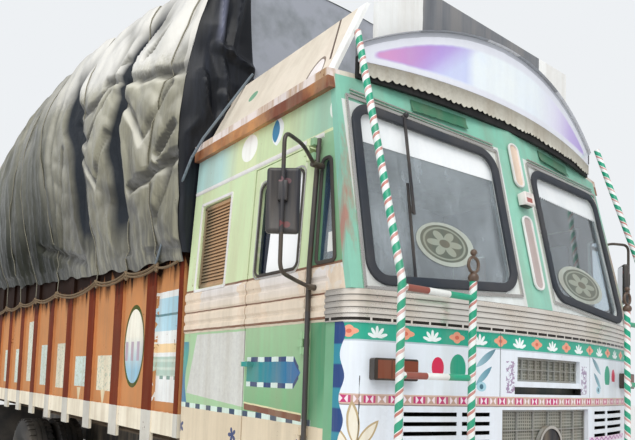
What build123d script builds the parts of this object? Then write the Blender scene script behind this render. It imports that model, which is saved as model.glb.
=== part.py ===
from build123d import *
from math import asin, cos, radians, sin, sqrt
import os

# Decorated two-axle forward-control truck: coach-built cab, slatted load body, tarpaulin.
# Millimetres, +Z up. The nose points to -Y and the driver's side is -X. In this file Y is
# measured from the cab's corner line. save_all() moves every piece so that the origin is on the
# ground below the middle of the overall length.

# Overall sizes and the main stations
CAB_HALF = 1200          # half width of cab below the belt
CAB_REAR = 1650          # rear face of cab
BODY_HALF = 1200         # half width of load body over its posts
BODY_FRONT = 1705        # front face of headboard
BODY_REAR = 8150         # outer face of tailgate
FRONT_AXLE_Y = 1200
REAR_AXLE_Y = 5830
BUMPER_FRONT = -290

# Wheels
TYRE_R = 525
TYRE_W = 276
RIM_R = 258
BEAD_HALF = 91            # half width over the tyre beads
AXLE_Z = 515
FRONT_WHEEL_X = 1000
TWIN_OUTER_X = 1046
TWIN_PITCH = 322
SPINDLE_R = 35
REAR_SPINDLE_R = 48
BEARING_GAP = 0.5
KINGPIN_X = 800
KINGPIN_R = 20
STEER_ARM = 220

# Chassis
RAIL_HALF = 430          # outer face of a frame rail
RAIL_FLANGE = 75
RAIL_WEB = 8
RAIL_Z = (760, 980)
RAIL_Y = (-12, BODY_REAR - 110)

# Cab levels and walls
WALL = 45                # whole side wall or door
NOSE_WALL = 40
FLOOR_Z = (1135, 1165)
SKIRT_Z = 920
BELT_Z = (1845, 2100)
NOSE_TOP = 1985
EAVES_Z = 3000
TOP_LEAN = 50            # how far the upper side leans in
ROOF_RISE = 55
ROOF_T = 25
DRIP_OUT = 38
DRIP_Z = 2930
ROOF_HALF = CAB_HALF - TOP_LEAN + DRIP_OUT
NOSE_BOW = -85           # foremost point of the nose
NOSE_SAG = 185.2         # how far the bow falls back at the cab's sides
NOSE_R = (CAB_HALF ** 2 + NOSE_SAG ** 2) / (2 * NOSE_SAG)
NOSE_END = 260
NOSE_CORNER = 110
ARCH_R = 620

# Raked two-pane windscreen: plane through (0, SCREEN_Y, SCREEN_Z)
SCREEN_Y = -30
SCREEN_Z = 2000
SCREEN_SWEEP = 6.3
SCREEN_RAKE = 12.4
SCREEN_WALL = 35
SCREEN_PANE = [(198, 103), (212, 825), (1081, 877), (1087, 38)]
PANE_CORNER = 85
GLASS = 6
GLASS_GAP = 0.3

# Doors and side windows: (front, rear) in Y and (bottom, top) in Z
DOOR_Y = (410, 940)
DOOR_Z = (1140, 2700)
DOOR_GAP = 6
DOOR_REAR_GAP = 11
DOOR_HINGE_OUT = 15
DOOR_WINDOW_Y = (490, 865)
WINDOW_Z = (2112, 2600)
VENT_Y = (1190, 1525)
VENT_Z = (2112, 2620)
QUARTER = [(205, 2115), (345, 2115), (352, 2600), (290, 2600)]
QUARTER_CORNER = 22

# Load body
BED_FLOOR_Z = (1300, 1355)
SILL_Z = (1210, 1355)
BEARER_Z = (1120, 1210)
SIDE_TOP = 2900
SIDE_PANEL = 25
POST_W = 165
POST_OUT = 25
POST_FIRST = 2200
POST_PITCH = 640
REAR_POST_W = 90
POST_COUNT = int((BODY_REAR - REAR_POST_W - POST_W / 2 - POST_FIRST) / POST_PITCH) + 1
GATE_T = 50
GATE_Z = (1365, 2330)

POST_LOW = 1130
GATE_PIN = (BODY_REAR + 14, 1332)     # Y, Z of the tailgate hinge line
GATE_PIN_R = 8
GATE_HINGE_X = (-850, 0, 850)

# Tarpaulin
TARP_T = 12
TARP_GAP = 0.3
TARP_FOOT = BODY_HALF + TARP_T + TARP_GAP
# Sections: Y, hem height, foot half width, bulge half width, bulge height, top
TARP_SECTIONS = [
    (BODY_FRONT - 29, 2270, TARP_FOOT, 1262, 2700, 4450),
    (2750, 2310, TARP_FOOT, 1345, 3150, 4620),
    (4300, 2360, TARP_FOOT, 1375, 3300, 4830),
    (BODY_REAR - 2200, 2430, TARP_FOOT, 1385, 3350, 4930),
    (BODY_REAR - 750, 2480, TARP_FOOT, 1380, 3350, 4900),
    (BODY_REAR + 40, 2500, TARP_FOOT, 1330, 3300, 4760),
]
TARP_SHOULDER = (0.80, 110)  # part of the bulge's half width, and drop below the top

# Nose: half width and heights of its openings, rows of louvres, lamp holes and the round boss
UPPER_MESH = (284, (1621, 1738))
AIR_SLOT = (303, (1559, 1594))
LOWER_MESH = (388, (1100, 1484))
LOUVRE_COLUMNS = [(468, 640), (665, 950)]
LOUVRE_TOP = 1472
LOUVRE_PITCH = 41.5
LOUVRE_H = 18
LOUVRE_ROWS = 4
LOUVRE_LIP = 12
HEADLAMP = (800, 1062, 92)       # X, Z, radius
BOSS_R = 105
BOSS_Z = 1300
MESH_RIM = 10
MESH_BAR = 6
MESH_INSET = 22           # how far the grille lies behind the bowed face
MESH_T = 8

# Belt band and the pressed ribs of the sides
BAND_T = 8
BAND_RIB_OUT = 6
BAND_RIB_LOW = 1880
BAND_RIBS = 4
RIB_COUNT = 4
RIB_OUT = 8

# Door hinges and vent slats
HINGE_Z = (1330, 1760, 2650)
HINGE_H = 34
HINGE_R = 9
HINGE_PIN_R = 4
SLATS = 11

# Cowl over the engine, and the cross beams under the cab floor
COWL = (RAIL_HALF - 30, (-18, 1460), 1640)
COWL_T = 20
ENGINE = (RAIL_HALF - 100, (280, 1380), (770, 1590))
CAB_BEAM_Y = (310, 1560)
CAB_BEAM_HALF = 600       # ends clear of the steered tyres

# Crown board and roof rack
BOARD_HALF = CAB_HALF - 160
BOARD_Y = (290, 185)       # front face at the ends and at the middle
BOARD_T = 24
BOARD_LOW = 3012
BOARD_TOP = (3135, 3510)   # top edge at the ends and at the middle
FRINGE_T = 8
BOARD_RIM = (40, 38)       # width of the raised rim at the ends and at the top
BOARD_LENS_LOW = 3250      # lower edge of the sunk face at the middle
SCALLOPS = 26
FRINGE_Z = (3026, 3112, 3205)   # cut edge, and the top at the ends and at the middle
RACK_FRONT_Y = (350, 385)
RACK_HALF = 860
RACK_TOP = 3690
RACK_FOOT = (1120, 3032)
RACK_SIDE_TOP = (905, 3480)
RACK_T = 22

# Steering wheel, guard rails, bumper and mirrors
WHEEL_X = -620
STEERING_R = 225
POLE_R = 17
POLE_FOOT = (63 - CAB_HALF, -130)
POLE_KNEE_Z = 2000
POLE_TOP = (125 - CAB_HALF, 252, 3200)
SHORT_X = -698
SHORT_TOP = 2044
RAIL_BARS = (1626, 1973)
BUMPER_Z = (640, 960)
MIRROR = (-CAB_HALF - 250, 255, 2330)
MIRROR_HEAD = (140, 40, 275)
MIRROR_TURN = -40         # so that its glass faces the driver and the rear
ARM_R = 9
ARM_OUT = 34                # tube's centre ahead of the middle of the head

# Chassis cross-members, tow eyes, axle beam, springs, drive line and tank
CROSS_Y = (45, 3800, 4700, 5250, 6500, 7960)
TOW_BORE = 32
TOW_X = 520
TOW_Z = 740
BUMPER_REAR = BODY_REAR - 90
BEAM_LOW = 430
SPRING_X = RAIL_HALF - 38
FRONT_PAD_Z = 500
REAR_PAD_Z = 610
LEAF_T = 13
LEAF_W = 70
GEARBOX_END = 1980
SHAFT_Z = 860
TANK_Y = (2500, 3500)

# Steering: gap and thickness of the knuckle's ears, and the tie rod
EAR_GAP = 2
EAR_T = 28
TIE_PIN_R = 10
TIE_DROP = 44
TIE_R = 16

# How a round bar stands on its place: from its near end, or up to its far end
FORWARD = (Align.CENTER, Align.CENTER, Align.MIN)
BACKWARD = (Align.CENTER, Align.CENTER, Align.MAX)


# Small helpers
def box(x, y, z):
    """Box from three (low, high) pairs."""
    size = [b - a for a, b in (x, y, z)]
    return Pos(*[(a + b) / 2 for a, b in (x, y, z)]) * Box(*size)


def outline(points, radius=0):
    """Closed face through the points, with its corners rounded."""
    face = make_face(Polyline(*points, close=True))
    return fillet(face.vertices(), radius) if radius else face


def prism_x(face, x):
    """Face drawn in (Y, Z), extruded between two X."""
    return Pos(x[0], 0, 0) * extrude(Plane.YZ * face, x[1] - x[0])


def prism_y(face, y):
    """Face drawn in (X, Z), extruded between two Y."""
    return Pos(0, y[1], 0) * extrude(Plane.XZ * face, y[1] - y[0])


def prism_z(face, z):
    """Face drawn in (X, Y), extruded between two Z."""
    return Pos(0, 0, z[0]) * extrude(face, z[1] - z[0])


def rod(start, end, radius):
    """Round bar between two points."""
    axis = Vector(*end) - Vector(*start)
    return Plane(origin=start, z_dir=axis) * Cylinder(radius, axis.length, align=FORWARD)


def mirrored(piece):
    return mirror(piece, about=Plane.YZ)


def both(piece):
    """The piece and its mirror image on the other side."""
    return [piece, mirrored(piece)]


def right_half(y=(-2000, 9000), z=(0, 6000)):
    """All space on the +X side."""
    return box((0, 3000), y, z)


NODES = {}


def node(name, *pieces):
    """File solids under a node's name."""
    solids = []
    for piece in pieces:
        solids += piece if isinstance(piece, list) else [piece]
    NODES[name] = solids


# Cab envelope
def lean(z):
    """How far the side has leaned in at a height."""
    return max(0, z - BELT_Z[1]) * TOP_LEAN / (EAVES_Z - BELT_Z[1])


def cab_section(inset, bottom=SKIRT_Z, top=EAVES_Z + ROOF_RISE):
    """Cab cross-section: upright to the belt, then leaning in."""
    low = CAB_HALF - inset
    high = low - lean(top)
    return outline([(-low, bottom), (low, bottom), (low, BELT_Z[1]),
                    (high, top), (-high, top), (-low, BELT_Z[1])])


def arch_face(half, low, rise, thickness):
    """Crowned strip in (X, Z)."""
    top = ThreePointArc((-half, low), (0, low + rise), (half, low))
    bottom = ThreePointArc((half, low - thickness), (0, low + rise - thickness), (-half, low - thickness))
    return make_face([top, Line((half, low), (half, low - thickness)), bottom,
                      Line((-half, low - thickness), (-half, low))])


def cab_block(inset, y, bottom=SKIRT_Z):
    """Filled cab envelope, up to the underside of the roof."""
    wide = 2 * CAB_HALF
    under = [ThreePointArc((-ROOF_HALF, EAVES_Z), (0, EAVES_Z + ROOF_RISE), (ROOF_HALF, EAVES_Z)),
             Polyline((ROOF_HALF, EAVES_Z), (wide, EAVES_Z), (wide, bottom), (-wide, bottom), (-wide, EAVES_Z),
                      (-ROOF_HALF, EAVES_Z))]
    return prism_y(cab_section(inset, bottom), y) & prism_y(make_face(under), y)


def cab_skin(outer, inner, y):
    """Shell between two insets of the cab envelope."""
    core = cab_section(inner, SKIRT_Z - 10, EAVES_Z + 2 * ROOF_RISE)
    return cab_block(outer, y) - prism_y(core, (y[0] - 10, y[1] + 10))


def screen_plane(offset=0):
    """Plane of the +X windscreen pane: X along the sill, Y up the rake."""
    s = radians(SCREEN_SWEEP)
    r = radians(SCREEN_RAKE)
    along = (cos(s), sin(s), 0)
    out = (sin(s) * cos(r), -cos(s) * cos(r), sin(r))
    return Plane(origin=(0, SCREEN_Y, SCREEN_Z), x_dir=along, z_dir=out).offset(offset)


def ahead_of_screen(offset):
    """All space on the +X side in front of the screen plane, moved by offset."""
    face = screen_plane(offset) * Rectangle(4000, 4000)
    return extrude(face, 2000) & right_half()


def nose_face(inset=0):
    """Plan of the nose: bowed front and rounded corners, back to NOSE_END."""
    bow = Pos(0, NOSE_BOW + NOSE_R) * Circle(NOSE_R)
    half = CAB_HALF
    band = Pos(0, (NOSE_END - 300) / 2) * Rectangle(2 * half, NOSE_END + 300)
    face = bow & band
    front = face.vertices().sort_by(Axis.Y)[:2]
    face = fillet(front, NOSE_CORNER)
    return offset(face, -inset, kind=Kind.INTERSECTION) if inset else face


def nose_y(x, inset=0):
    """Y of the bowed front at a given X."""
    return NOSE_BOW + NOSE_R - sqrt((NOSE_R - inset) ** 2 - x ** 2)


# Nose with its louvres, grille openings and lamp holes
def on_nose(x, z, inset=0):
    """Frame on the bowed front: local X along the nose, local Y up, local Z outward."""
    turn = asin(x / NOSE_R)
    place = (x, nose_y(x, inset), z)
    return Plane(origin=place, x_dir=(cos(turn), sin(turn), 0), z_dir=(sin(turn), -cos(turn), 0))


def cab_nose():
    shell = nose_face() - nose_face(NOSE_WALL)
    shell -= Pos(0, NOSE_END) * Rectangle(2 * (CAB_HALF - NOSE_WALL), 2 * NOSE_WALL + 1)
    nose = prism_z(shell, (SKIRT_Z, NOSE_TOP))
    for half, z in (UPPER_MESH, AIR_SLOT, LOWER_MESH):
        nose -= box((-half, half), (NOSE_BOW - 50, 60), z)
    lips = []
    for x0, x1 in LOUVRE_COLUMNS:
        for row in range(LOUVRE_ROWS):
            top = LOUVRE_TOP - row * LOUVRE_PITCH
            frame = on_nose((x0 + x1) / 2, top - LOUVRE_H)
            slot = frame * Pos(0, LOUVRE_H / 2, -NOSE_WALL / 2) * Box(x1 - x0, LOUVRE_H, 3 * NOSE_WALL)
            hood = mirrored(outline([(0, LOUVRE_H + 6), (0, LOUVRE_H), (LOUVRE_LIP, LOUVRE_H - 7),
                                     (LOUVRE_LIP, LOUVRE_H - 5)]))
            upright = Plane(origin=(0, 0, 0), x_dir=(0, 0, 1), z_dir=(1, 0, 0))
            hood = Pos(-(x1 - x0) / 2, 0, 0) * extrude(upright * hood, x1 - x0)
            nose = nose - slot - mirrored(slot)
            lips += both(frame * Pos(0, 0, -4) * hood)
    shelf = nose_face() & (Pos(0, -120) * Rectangle(2 * CAB_HALF, 560))
    nose += prism_z(shelf, (NOSE_TOP - 12, NOSE_TOP))
    lamp = on_nose(HEADLAMP[0], HEADLAMP[1]) * Cylinder(HEADLAMP[2], 4 * NOSE_WALL)
    nose = nose - lamp - mirrored(lamp)
    for lip in lips:
        nose += lip
    return nose


def lattice(half, z, bars, rails):
    """Grille panel on the bow: a rim with upright bars and cross rails."""
    y = (nose_y(0, MESH_INSET) - 4, nose_y(half, MESH_INSET) + 6)
    skin = prism_z(nose_face(MESH_INSET) - nose_face(MESH_INSET + MESH_T), z)
    plate = box((-half, half), y, z) & skin
    cells_x = (2 * (half - MESH_RIM) - bars * MESH_BAR) / (bars + 1)
    cells_z = (z[1] - z[0] - 2 * MESH_RIM - rails * MESH_BAR) / (rails + 1)
    for column in range(bars + 1):
        for row in range(rails + 1):
            x0 = -half + MESH_RIM + column * (cells_x + MESH_BAR)
            z0 = z[0] + MESH_RIM + row * (cells_z + MESH_BAR)
            plate -= box((x0, x0 + cells_x), (y[0] - 60, y[1] + 60), (z0, z0 + cells_z))
    return plate


def mesh_room(opening):
    """Half width and heights of a grille panel that stands clear of its opening."""
    half, (low, high) = opening
    return half - GLASS_GAP, (low + GLASS_GAP, high - GLASS_GAP)


def grille_mesh():
    upper = lattice(*mesh_room(UPPER_MESH), 9, 1)
    lower = lattice(*mesh_room(LOWER_MESH), 5, 3)
    boss = on_nose(0, BOSS_Z, 26) * Cylinder(BOSS_R, 18, align=FORWARD)
    return [upper, lower + boss]


def belt_band():
    """Ribbed bright band wrapped round the nose under the windscreen."""
    band = prism_z(nose_band_face(BAND_T), (BELT_Z[0], NOSE_TOP))
    rib = nose_band_face(BAND_T + BAND_RIB_OUT)
    pitch = (NOSE_TOP - BAND_RIB_LOW) / BAND_RIBS
    for k in range(BAND_RIBS):
        z = BAND_RIB_LOW + k * pitch
        band += prism_z(rib, (z, z + pitch * 0.55))
    return band


def nose_band_face(thickness):
    outer = offset(nose_face(), thickness, kind=Kind.INTERSECTION)
    ring = outer - nose_face()
    keep = Pos(0, -70) * Rectangle(2 * CAB_HALF + 100, 2 * (NOSE_END - 2) + 140)
    return ring & keep


def screen_frame():
    """V-plan raked frame round both panes, up to the eaves."""
    slab = extrude(screen_plane(-SCREEN_WALL) * Rectangle(4000, 4000), SCREEN_WALL) & right_half()
    block = cab_block(0, (-600, 1200), NOSE_TOP) & right_half()
    half = slab & block
    half -= extrude(screen_plane(-100) * outline(SCREEN_PANE, PANE_CORNER), 200)
    return half + mirrored(half)


def windscreens():
    pane = offset(outline(SCREEN_PANE, PANE_CORNER), -GLASS_GAP)
    glass = extrude(screen_plane(-SCREEN_WALL / 2 - GLASS / 2) * pane, GLASS)
    return both(glass)


def side_cut(face, depth=200):
    """Cutter through the +X side wall for a face drawn in (Y, Z)."""
    return prism_x(face, (CAB_HALF - depth, CAB_HALF + depth))


def frame_face(y, z, radius):
    return outline([(y[0], z[0]), (y[1], z[0]), (y[1], z[1]), (y[0], z[1])], radius)


def belt_ribs(y):
    """Raised ribs of the belt on the +X side."""
    step = (BELT_Z[1] - BELT_Z[0]) / RIB_COUNT
    ribs = []
    for k in range(RIB_COUNT):
        z = BELT_Z[0] + (k + 0.5) * step
        profile = outline([(CAB_HALF, z - step * 0.42), (CAB_HALF + RIB_OUT, z - step * 0.25),
                           (CAB_HALF + RIB_OUT, z + step * 0.25), (CAB_HALF, z + step * 0.42)])
        ribs.append(prism_y(profile, y))
    return ribs


def cab_side():
    """+X side wall with its door, quarter and vent openings, and the wheel arch."""
    wall = cab_skin(0, WALL, (0, CAB_REAR)) & right_half()
    wall -= ahead_of_screen(-SCREEN_WALL)
    wall -= box((0, 1500), (-100, NOSE_END), (0, NOSE_TOP))
    for rib in belt_ribs((NOSE_END, CAB_REAR)):
        wall += rib
    wall -= box((CAB_HALF - 100, CAB_HALF + 100), DOOR_Y, DOOR_Z)
    wall -= side_cut(outline(QUARTER, QUARTER_CORNER))
    wall -= side_cut(frame_face(VENT_Y, VENT_Z, 25))
    wall -= side_cut(Pos(FRONT_AXLE_Y, AXLE_Z) * Circle(ARCH_R))
    for z in HINGE_Z:
        for end in (-1, 1):
            wall += hinge_part(z + end * (HINGE_H + 1), HINGE_H - 1, -1)
        pin = Cylinder(HINGE_PIN_R, 3 * HINGE_H)
        wall += Pos(CAB_HALF + DOOR_HINGE_OUT, DOOR_Y[0] + DOOR_GAP / 2, z) * pin
    return wall


def hinge_part(z, height, toward):
    """Barrel on the hinge line, with a leaf to the pillar (-1) or to the door (+1)."""
    x = CAB_HALF + DOOR_HINGE_OUT
    y = DOOR_Y[0] + DOOR_GAP / 2
    barrel = Pos(x, y, z) * Cylinder(HINGE_R, height)
    surface = CAB_HALF - lean(z)
    reach = (y + toward * 42, y + toward * 5)
    leaf = box((surface - 12, x - 2), sorted(reach), (z - height / 2, z + height / 2))
    neck = box((x - 5, x + 2), sorted((y, y + toward * 20)), (z - height / 2, z + height / 2))
    return barrel + leaf + neck


def door():
    """+X door: whole wall thickness, window cut, belt ribs, hinges and handle."""
    y = (DOOR_Y[0] + DOOR_GAP, DOOR_Y[1] - DOOR_REAR_GAP)
    z = (DOOR_Z[0] + DOOR_GAP, DOOR_Z[1] - DOOR_GAP)
    leaf = cab_skin(0, WALL, (0, CAB_REAR))
    for rib in belt_ribs((0, CAB_REAR)):
        leaf += rib
    leaf &= box((CAB_HALF - 200, CAB_HALF + 100), y, z)
    leaf -= side_cut(frame_face(DOOR_WINDOW_Y, WINDOW_Z, 40))
    for height in HINGE_Z:
        leaf += hinge_part(height, HINGE_H, 1)
        bore = Cylinder(HINGE_PIN_R + BEARING_GAP, 2 * HINGE_H)
        leaf -= Pos(CAB_HALF + DOOR_HINGE_OUT, DOOR_Y[0] + DOOR_GAP / 2, height) * bore
    grip_y = (y[1] - 85, y[1] - 20)
    grip = box((CAB_HALF - 1, CAB_HALF + 34), grip_y, (1652, 1678))
    grip -= box((CAB_HALF, CAB_HALF + 24), (grip_y[0] + 12, grip_y[1] - 12), (1640, 1690))
    return leaf + grip


def door_glass():
    pane = frame_face([DOOR_WINDOW_Y[0] + GLASS_GAP, DOOR_WINDOW_Y[1] - GLASS_GAP],
                      [WINDOW_Z[0] + GLASS_GAP, WINDOW_Z[1] - GLASS_GAP], 40)
    return cab_skin(20, 20 + GLASS, (300, 1100)) & side_cut(pane)


def quarter_glass():
    pane = offset(outline(QUARTER, QUARTER_CORNER), -GLASS_GAP)
    return cab_skin(20, 20 + GLASS, (0, 500)) & side_cut(pane)


def vent_shutter():
    """Slatted shutter that fills the rear opening of the +X side."""
    y = (VENT_Y[0] + GLASS_GAP, VENT_Y[1] - GLASS_GAP)
    z = (VENT_Z[0] + GLASS_GAP, VENT_Z[1] - GLASS_GAP)
    rim = frame_face(y, z, 25) - frame_face((y[0] + 22, y[1] - 22), (z[0] + 22, z[1] - 22), 8)
    shutter = cab_skin(8, 34, (1000, CAB_REAR)) & side_cut(rim)
    pitch = (z[1] - z[0] - 44) / SLATS
    for k in range(SLATS):
        low = z[0] + 22 + k * pitch
        x = CAB_HALF - 21 - lean(low)
        slat = outline([(x - 9, low + 28), (x + 9, low + 4), (x + 9, low + 9), (x - 9, low + 33)])
        shutter += prism_y(slat, (y[0] + 20, y[1] - 20))
    return shutter


def floor_face():
    inner = nose_face(NOSE_WALL)
    room = 2 * (CAB_HALF - WALL)
    length = CAB_REAR - WALL - NOSE_END + 60
    rear = Pos(0, (NOSE_END - 60 + CAB_REAR - WALL) / 2) * Rectangle(room, length)
    front = inner & Rectangle(room, 2 * NOSE_END - 40)
    return front + rear


def cab_floor():
    """Floor with the raised cowl over the engine."""
    half, y, top = COWL
    floor = prism_z(floor_face(), FLOOR_Z)
    floor += box((-half, half), y, (FLOOR_Z[0], top))
    inner = (y[0] + COWL_T, y[1] - COWL_T)
    floor -= box((COWL_T - half, half - COWL_T), inner, (FLOOR_Z[0] - 1, top - COWL_T))
    for y0 in CAB_BEAM_Y:
        floor += box((-CAB_BEAM_HALF, CAB_BEAM_HALF), (y0 - 35, y0 + 35), (RAIL_Z[1], FLOOR_Z[0]))
        floor -= box((COWL_T - half, half - COWL_T), (y0 - 40, y0 + 40), (RAIL_Z[1] - 1, FLOOR_Z[0]))
    return floor


def cab_rear_wall():
    wall = cab_block(WALL, (CAB_REAR - WALL, CAB_REAR), FLOOR_Z[0])
    for x in (-700, 0, 700):
        wall -= box((x - 260, x + 260), (CAB_REAR - 15, CAB_REAR + 1), (1300, 2700))
    return wall


def cab_roof():
    """Crowned roof with its drip rails along both sides."""
    roof = prism_y(arch_face(ROOF_HALF, EAVES_Z + ROOF_T, ROOF_RISE, ROOF_T), (-200, CAB_REAR))
    rail = prism_y(outline([(CAB_HALF - lean(DRIP_Z), DRIP_Z), (ROOF_HALF, DRIP_Z - 4), (ROOF_HALF, EAVES_Z + 4),
                            (CAB_HALF - lean(EAVES_Z + 8), EAVES_Z + 8)]), (-200, CAB_REAR))
    roof = roof + rail + mirrored(rail)
    for cutter in both(ahead_of_screen(0)):
        roof -= cutter
    return roof


def board_skin(face, front, thickness):
    """Upright face in (X, Z) wrapped on the bowed plan of the crown board."""
    bow = BOARD_Y[0] - BOARD_Y[1]
    radius = (BOARD_HALF ** 2 + bow ** 2) / (2 * bow)
    centre = Pos(0, BOARD_Y[1] + radius)
    ring = centre * Circle(radius - front) - centre * Circle(radius - front - thickness)
    ring = ring & (Pos(0, 200) * Rectangle(3000, 800))
    return prism_z(ring, (3000, 3600)) & prism_y(face, (-200, 900))


def roof_solid():
    """Everything below the roof's crowned top, behind the windscreen plane."""
    solid = prism_y(arch_face(ROOF_HALF, EAVES_Z + ROOF_T, ROOF_RISE, 400), (-200, CAB_REAR))
    for cutter in both(ahead_of_screen(0)):
        solid -= cutter
    return solid


def crown_board():
    """Arched display board on the roof front, with a raised rim and a scalloped valance."""
    ends, middle = BOARD_TOP
    arch = ThreePointArc((-BOARD_HALF, ends), (0, middle), (BOARD_HALF, ends))
    edge = Polyline((BOARD_HALF, ends), (BOARD_HALF, BOARD_LOW), (-BOARD_HALF, BOARD_LOW),
                    (-BOARD_HALF, ends))
    plate = board_skin(make_face([arch, edge]), 0, BOARD_T)
    half = BOARD_HALF - BOARD_RIM[0]
    lens_top = ThreePointArc((-half, ends), (0, middle - BOARD_RIM[1]), (half, ends))
    lens_low = ThreePointArc((half, ends), (0, BOARD_LENS_LOW), (-half, ends))
    plate -= board_skin(make_face([lens_top, lens_low]), -1, 9)
    return plate - roof_solid()


def crown_valance():
    """Scalloped strip that hangs below the board."""
    pitch = 2 * (BOARD_HALF - 20) / SCALLOPS
    start = 20 - BOARD_HALF
    low, ends, middle = FRINGE_Z
    arch = ThreePointArc((start, ends), (0, middle), (-start, ends))
    strip = make_face([arch, Polyline((-start, ends), (-start, low), (start, low), (start, ends))])
    for k in range(SCALLOPS + 1):
        strip -= Pos(start + k * pitch, low) * Circle(pitch * 0.3)
    return board_skin(strip, -FRINGE_T, FRINGE_T)


def roof_rack():
    """Open box on the cab roof: upright front board and leaning side boards."""
    front = box((-RACK_HALF, RACK_HALF), RACK_FRONT_Y, (3000, RACK_TOP))
    front -= prism_y(arch_face(ROOF_HALF, EAVES_Z + ROOF_T, ROOF_RISE, 400), (200, 500))
    (x0, z0), (x1, z1) = RACK_FOOT, RACK_SIDE_TOP
    board = outline([(x0, z0), (x1, z1), (x1 - RACK_T, z1), (x0 - RACK_T, z0)])
    side = prism_y(board, (RACK_FRONT_Y[1], CAB_REAR - 20))
    side -= prism_y(arch_face(ROOF_HALF, EAVES_Z + ROOF_T, ROOF_RISE, 400), (200, 2000))
    return [front] + both(side)


# Fittings inside the cab
def dashboard():
    profile = outline([(150, 1700), (330, 1720), (400, 1800), (380, 1900), (250, 1960), (170, 1960)])
    return prism_x(profile, (WALL - CAB_HALF, CAB_HALF - WALL)) - extrude(offset_nose_cut(), 400)


def offset_nose_cut():
    """Region outside the nose's inner face, to trim what lies behind it."""
    inner = nose_face(NOSE_WALL) + Pos(0, NOSE_END + 480) * Rectangle(2 * (CAB_HALF - NOSE_WALL), 1100)
    return Pos(0, 0, 1650) * (Rectangle(4000, 4000) - inner)


def steering_wheel():
    """Wheel with its column, which stands on the floor."""
    tilt = Plane(origin=(WHEEL_X, 560, 1960), x_dir=(1, 0, 0), z_dir=(0, 0.52, 0.854))
    ring = tilt * Torus(STEERING_R, 14)
    spokes = tilt * Box(2 * STEERING_R, 34, 10)
    spokes += tilt * Pos(0, -STEERING_R / 2, 0) * Box(34, STEERING_R, 10)
    hub = tilt * Cylinder(42, 34)
    foot = tilt.origin - tilt.z_dir * ((1960 - FLOOR_Z[1]) / 0.854)
    column = rod(tuple(foot - tilt.z_dir * 60), tuple(tilt.origin), 28)
    column -= box((-1200, 1200), (-500, 900), (0, FLOOR_Z[1]))
    return ring + spokes + hub + column


def seat(x):
    """Seat on its box, with a raked back."""
    base = box((x[0] + 30, x[1] - 30), (900, 1330), (FLOOR_Z[1], 1470))
    profile = outline([(850, 1470), (1400, 1470), (1560, 2150), (1470, 2150), (1340, 1620), (850, 1600)], 20)
    return base + prism_x(profile, x)


def seats():
    return [seat((-1060, -440)), seat((440, 1060))]


# Outside fittings of the cab
def guard_rail():
    """Tall pole, short pole with finial, and cross bars on the -X side."""
    x, y = POLE_FOOT
    tall = rod((x, y, BUMPER_Z[1]), (x, y, POLE_KNEE_Z), POLE_R)
    tall += Pos(x, y, POLE_KNEE_Z) * Sphere(POLE_R)
    tall += rod((x, y, POLE_KNEE_Z), POLE_TOP, POLE_R)
    rail = tall + rod((SHORT_X, y, BUMPER_Z[1]), (SHORT_X, y, SHORT_TOP), POLE_R)
    for z in RAIL_BARS:
        rail += rod((x, y, z), (SHORT_X, y, z), POLE_R - 3)
    rail += Pos(SHORT_X, y, SHORT_TOP + 18) * Sphere(24)
    ring = Pos(SHORT_X, y, SHORT_TOP + 75) * Rot(90, 0, 0) * Torus(34, 7)
    rail += ring + Pos(SHORT_X, y, SHORT_TOP + 130) * Sphere(15)
    rail += rod((SHORT_X, y, SHORT_TOP + 105), (SHORT_X, y, SHORT_TOP + 128), 7)
    for px in (x, SHORT_X):
        rail += Pos(px, y, BUMPER_Z[1] + 5) * Box(80, 80, 10)
    return rail


def mirror_set():
    """Mirror head on a tube arm, fixed to the -X pillar ahead of the door."""
    x, y, z = MIRROR
    turned = Pos(x, y, z) * Rot(0, 0, MIRROR_TURN)
    head = turned * fillet(Box(*MIRROR_HEAD).edges(), 14)
    out = Vector(0, -ARM_OUT, 0).rotate(Axis.Z, MIRROR_TURN)
    bend_x, bend_y = x + out.X, y + out.Y
    top, low = 2695, 2005
    post = (-CAB_HALF - 35, 340)
    high_bend, low_bend = (bend_x, bend_y, z + 250), (bend_x, bend_y, z - 320)
    arm = rod(low_bend, high_bend, ARM_R)
    arm += rod(high_bend, (post[0], post[1], top), ARM_R)
    arm += rod(low_bend, (post[0], post[1], low), ARM_R)
    arm += Pos(*high_bend) * Sphere(ARM_R) + Pos(*low_bend) * Sphere(ARM_R)
    arm += turned * Pos(0, -27, 0) * Box(40, 20, 60)
    for z0 in (top, low):
        surface = CAB_HALF - lean(z0) + (RIB_OUT if z0 < BELT_Z[1] else 0)
        arm += rod((post[0] - 9, post[1], z0), (-surface - 1.2, post[1], z0), 14)
    return head + arm


def wiper():
    """Wiper that hangs from the header on the driver's side."""
    top = mirrored(screen_plane(22) * Pos(795, 905, 0) * Sphere(14))
    parts = top
    arm = screen_plane(20) * Pos(815, 640, 0) * Rot(0, 0, 2) * Box(14, 530, 8)
    blade = screen_plane(6) * Pos(840, 300, 0) * Rot(0, 0, 3) * Box(12, 480, 8)
    link = screen_plane(13) * Pos(832, 400, 0) * Box(10, 30, 16)
    spindle = screen_plane(0) * Pos(795, 905, 11) * Cylinder(9, 21.4)
    return parts + mirrored(arm) + mirrored(blade) + mirrored(link) + mirrored(spindle)


def headlamp():
    x, z, radius = HEADLAMP
    frame = on_nose(x, z)
    return frame * (Pos(0, 0, -30) * Cylinder(radius - GLASS_GAP, 60, align=FORWARD)
                    + Pos(0, 0, 30) * Cylinder(radius - 14, 10, align=FORWARD))


def corner_lamp():
    """Marker lamp on the nose corner."""
    frame = on_nose(CAB_HALF - 190, 1650, -0.3)
    return frame * Pos(0, 0, 22) * fillet(Box(210, 92, 44).edges().filter_by(Axis.Z), 10)


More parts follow.
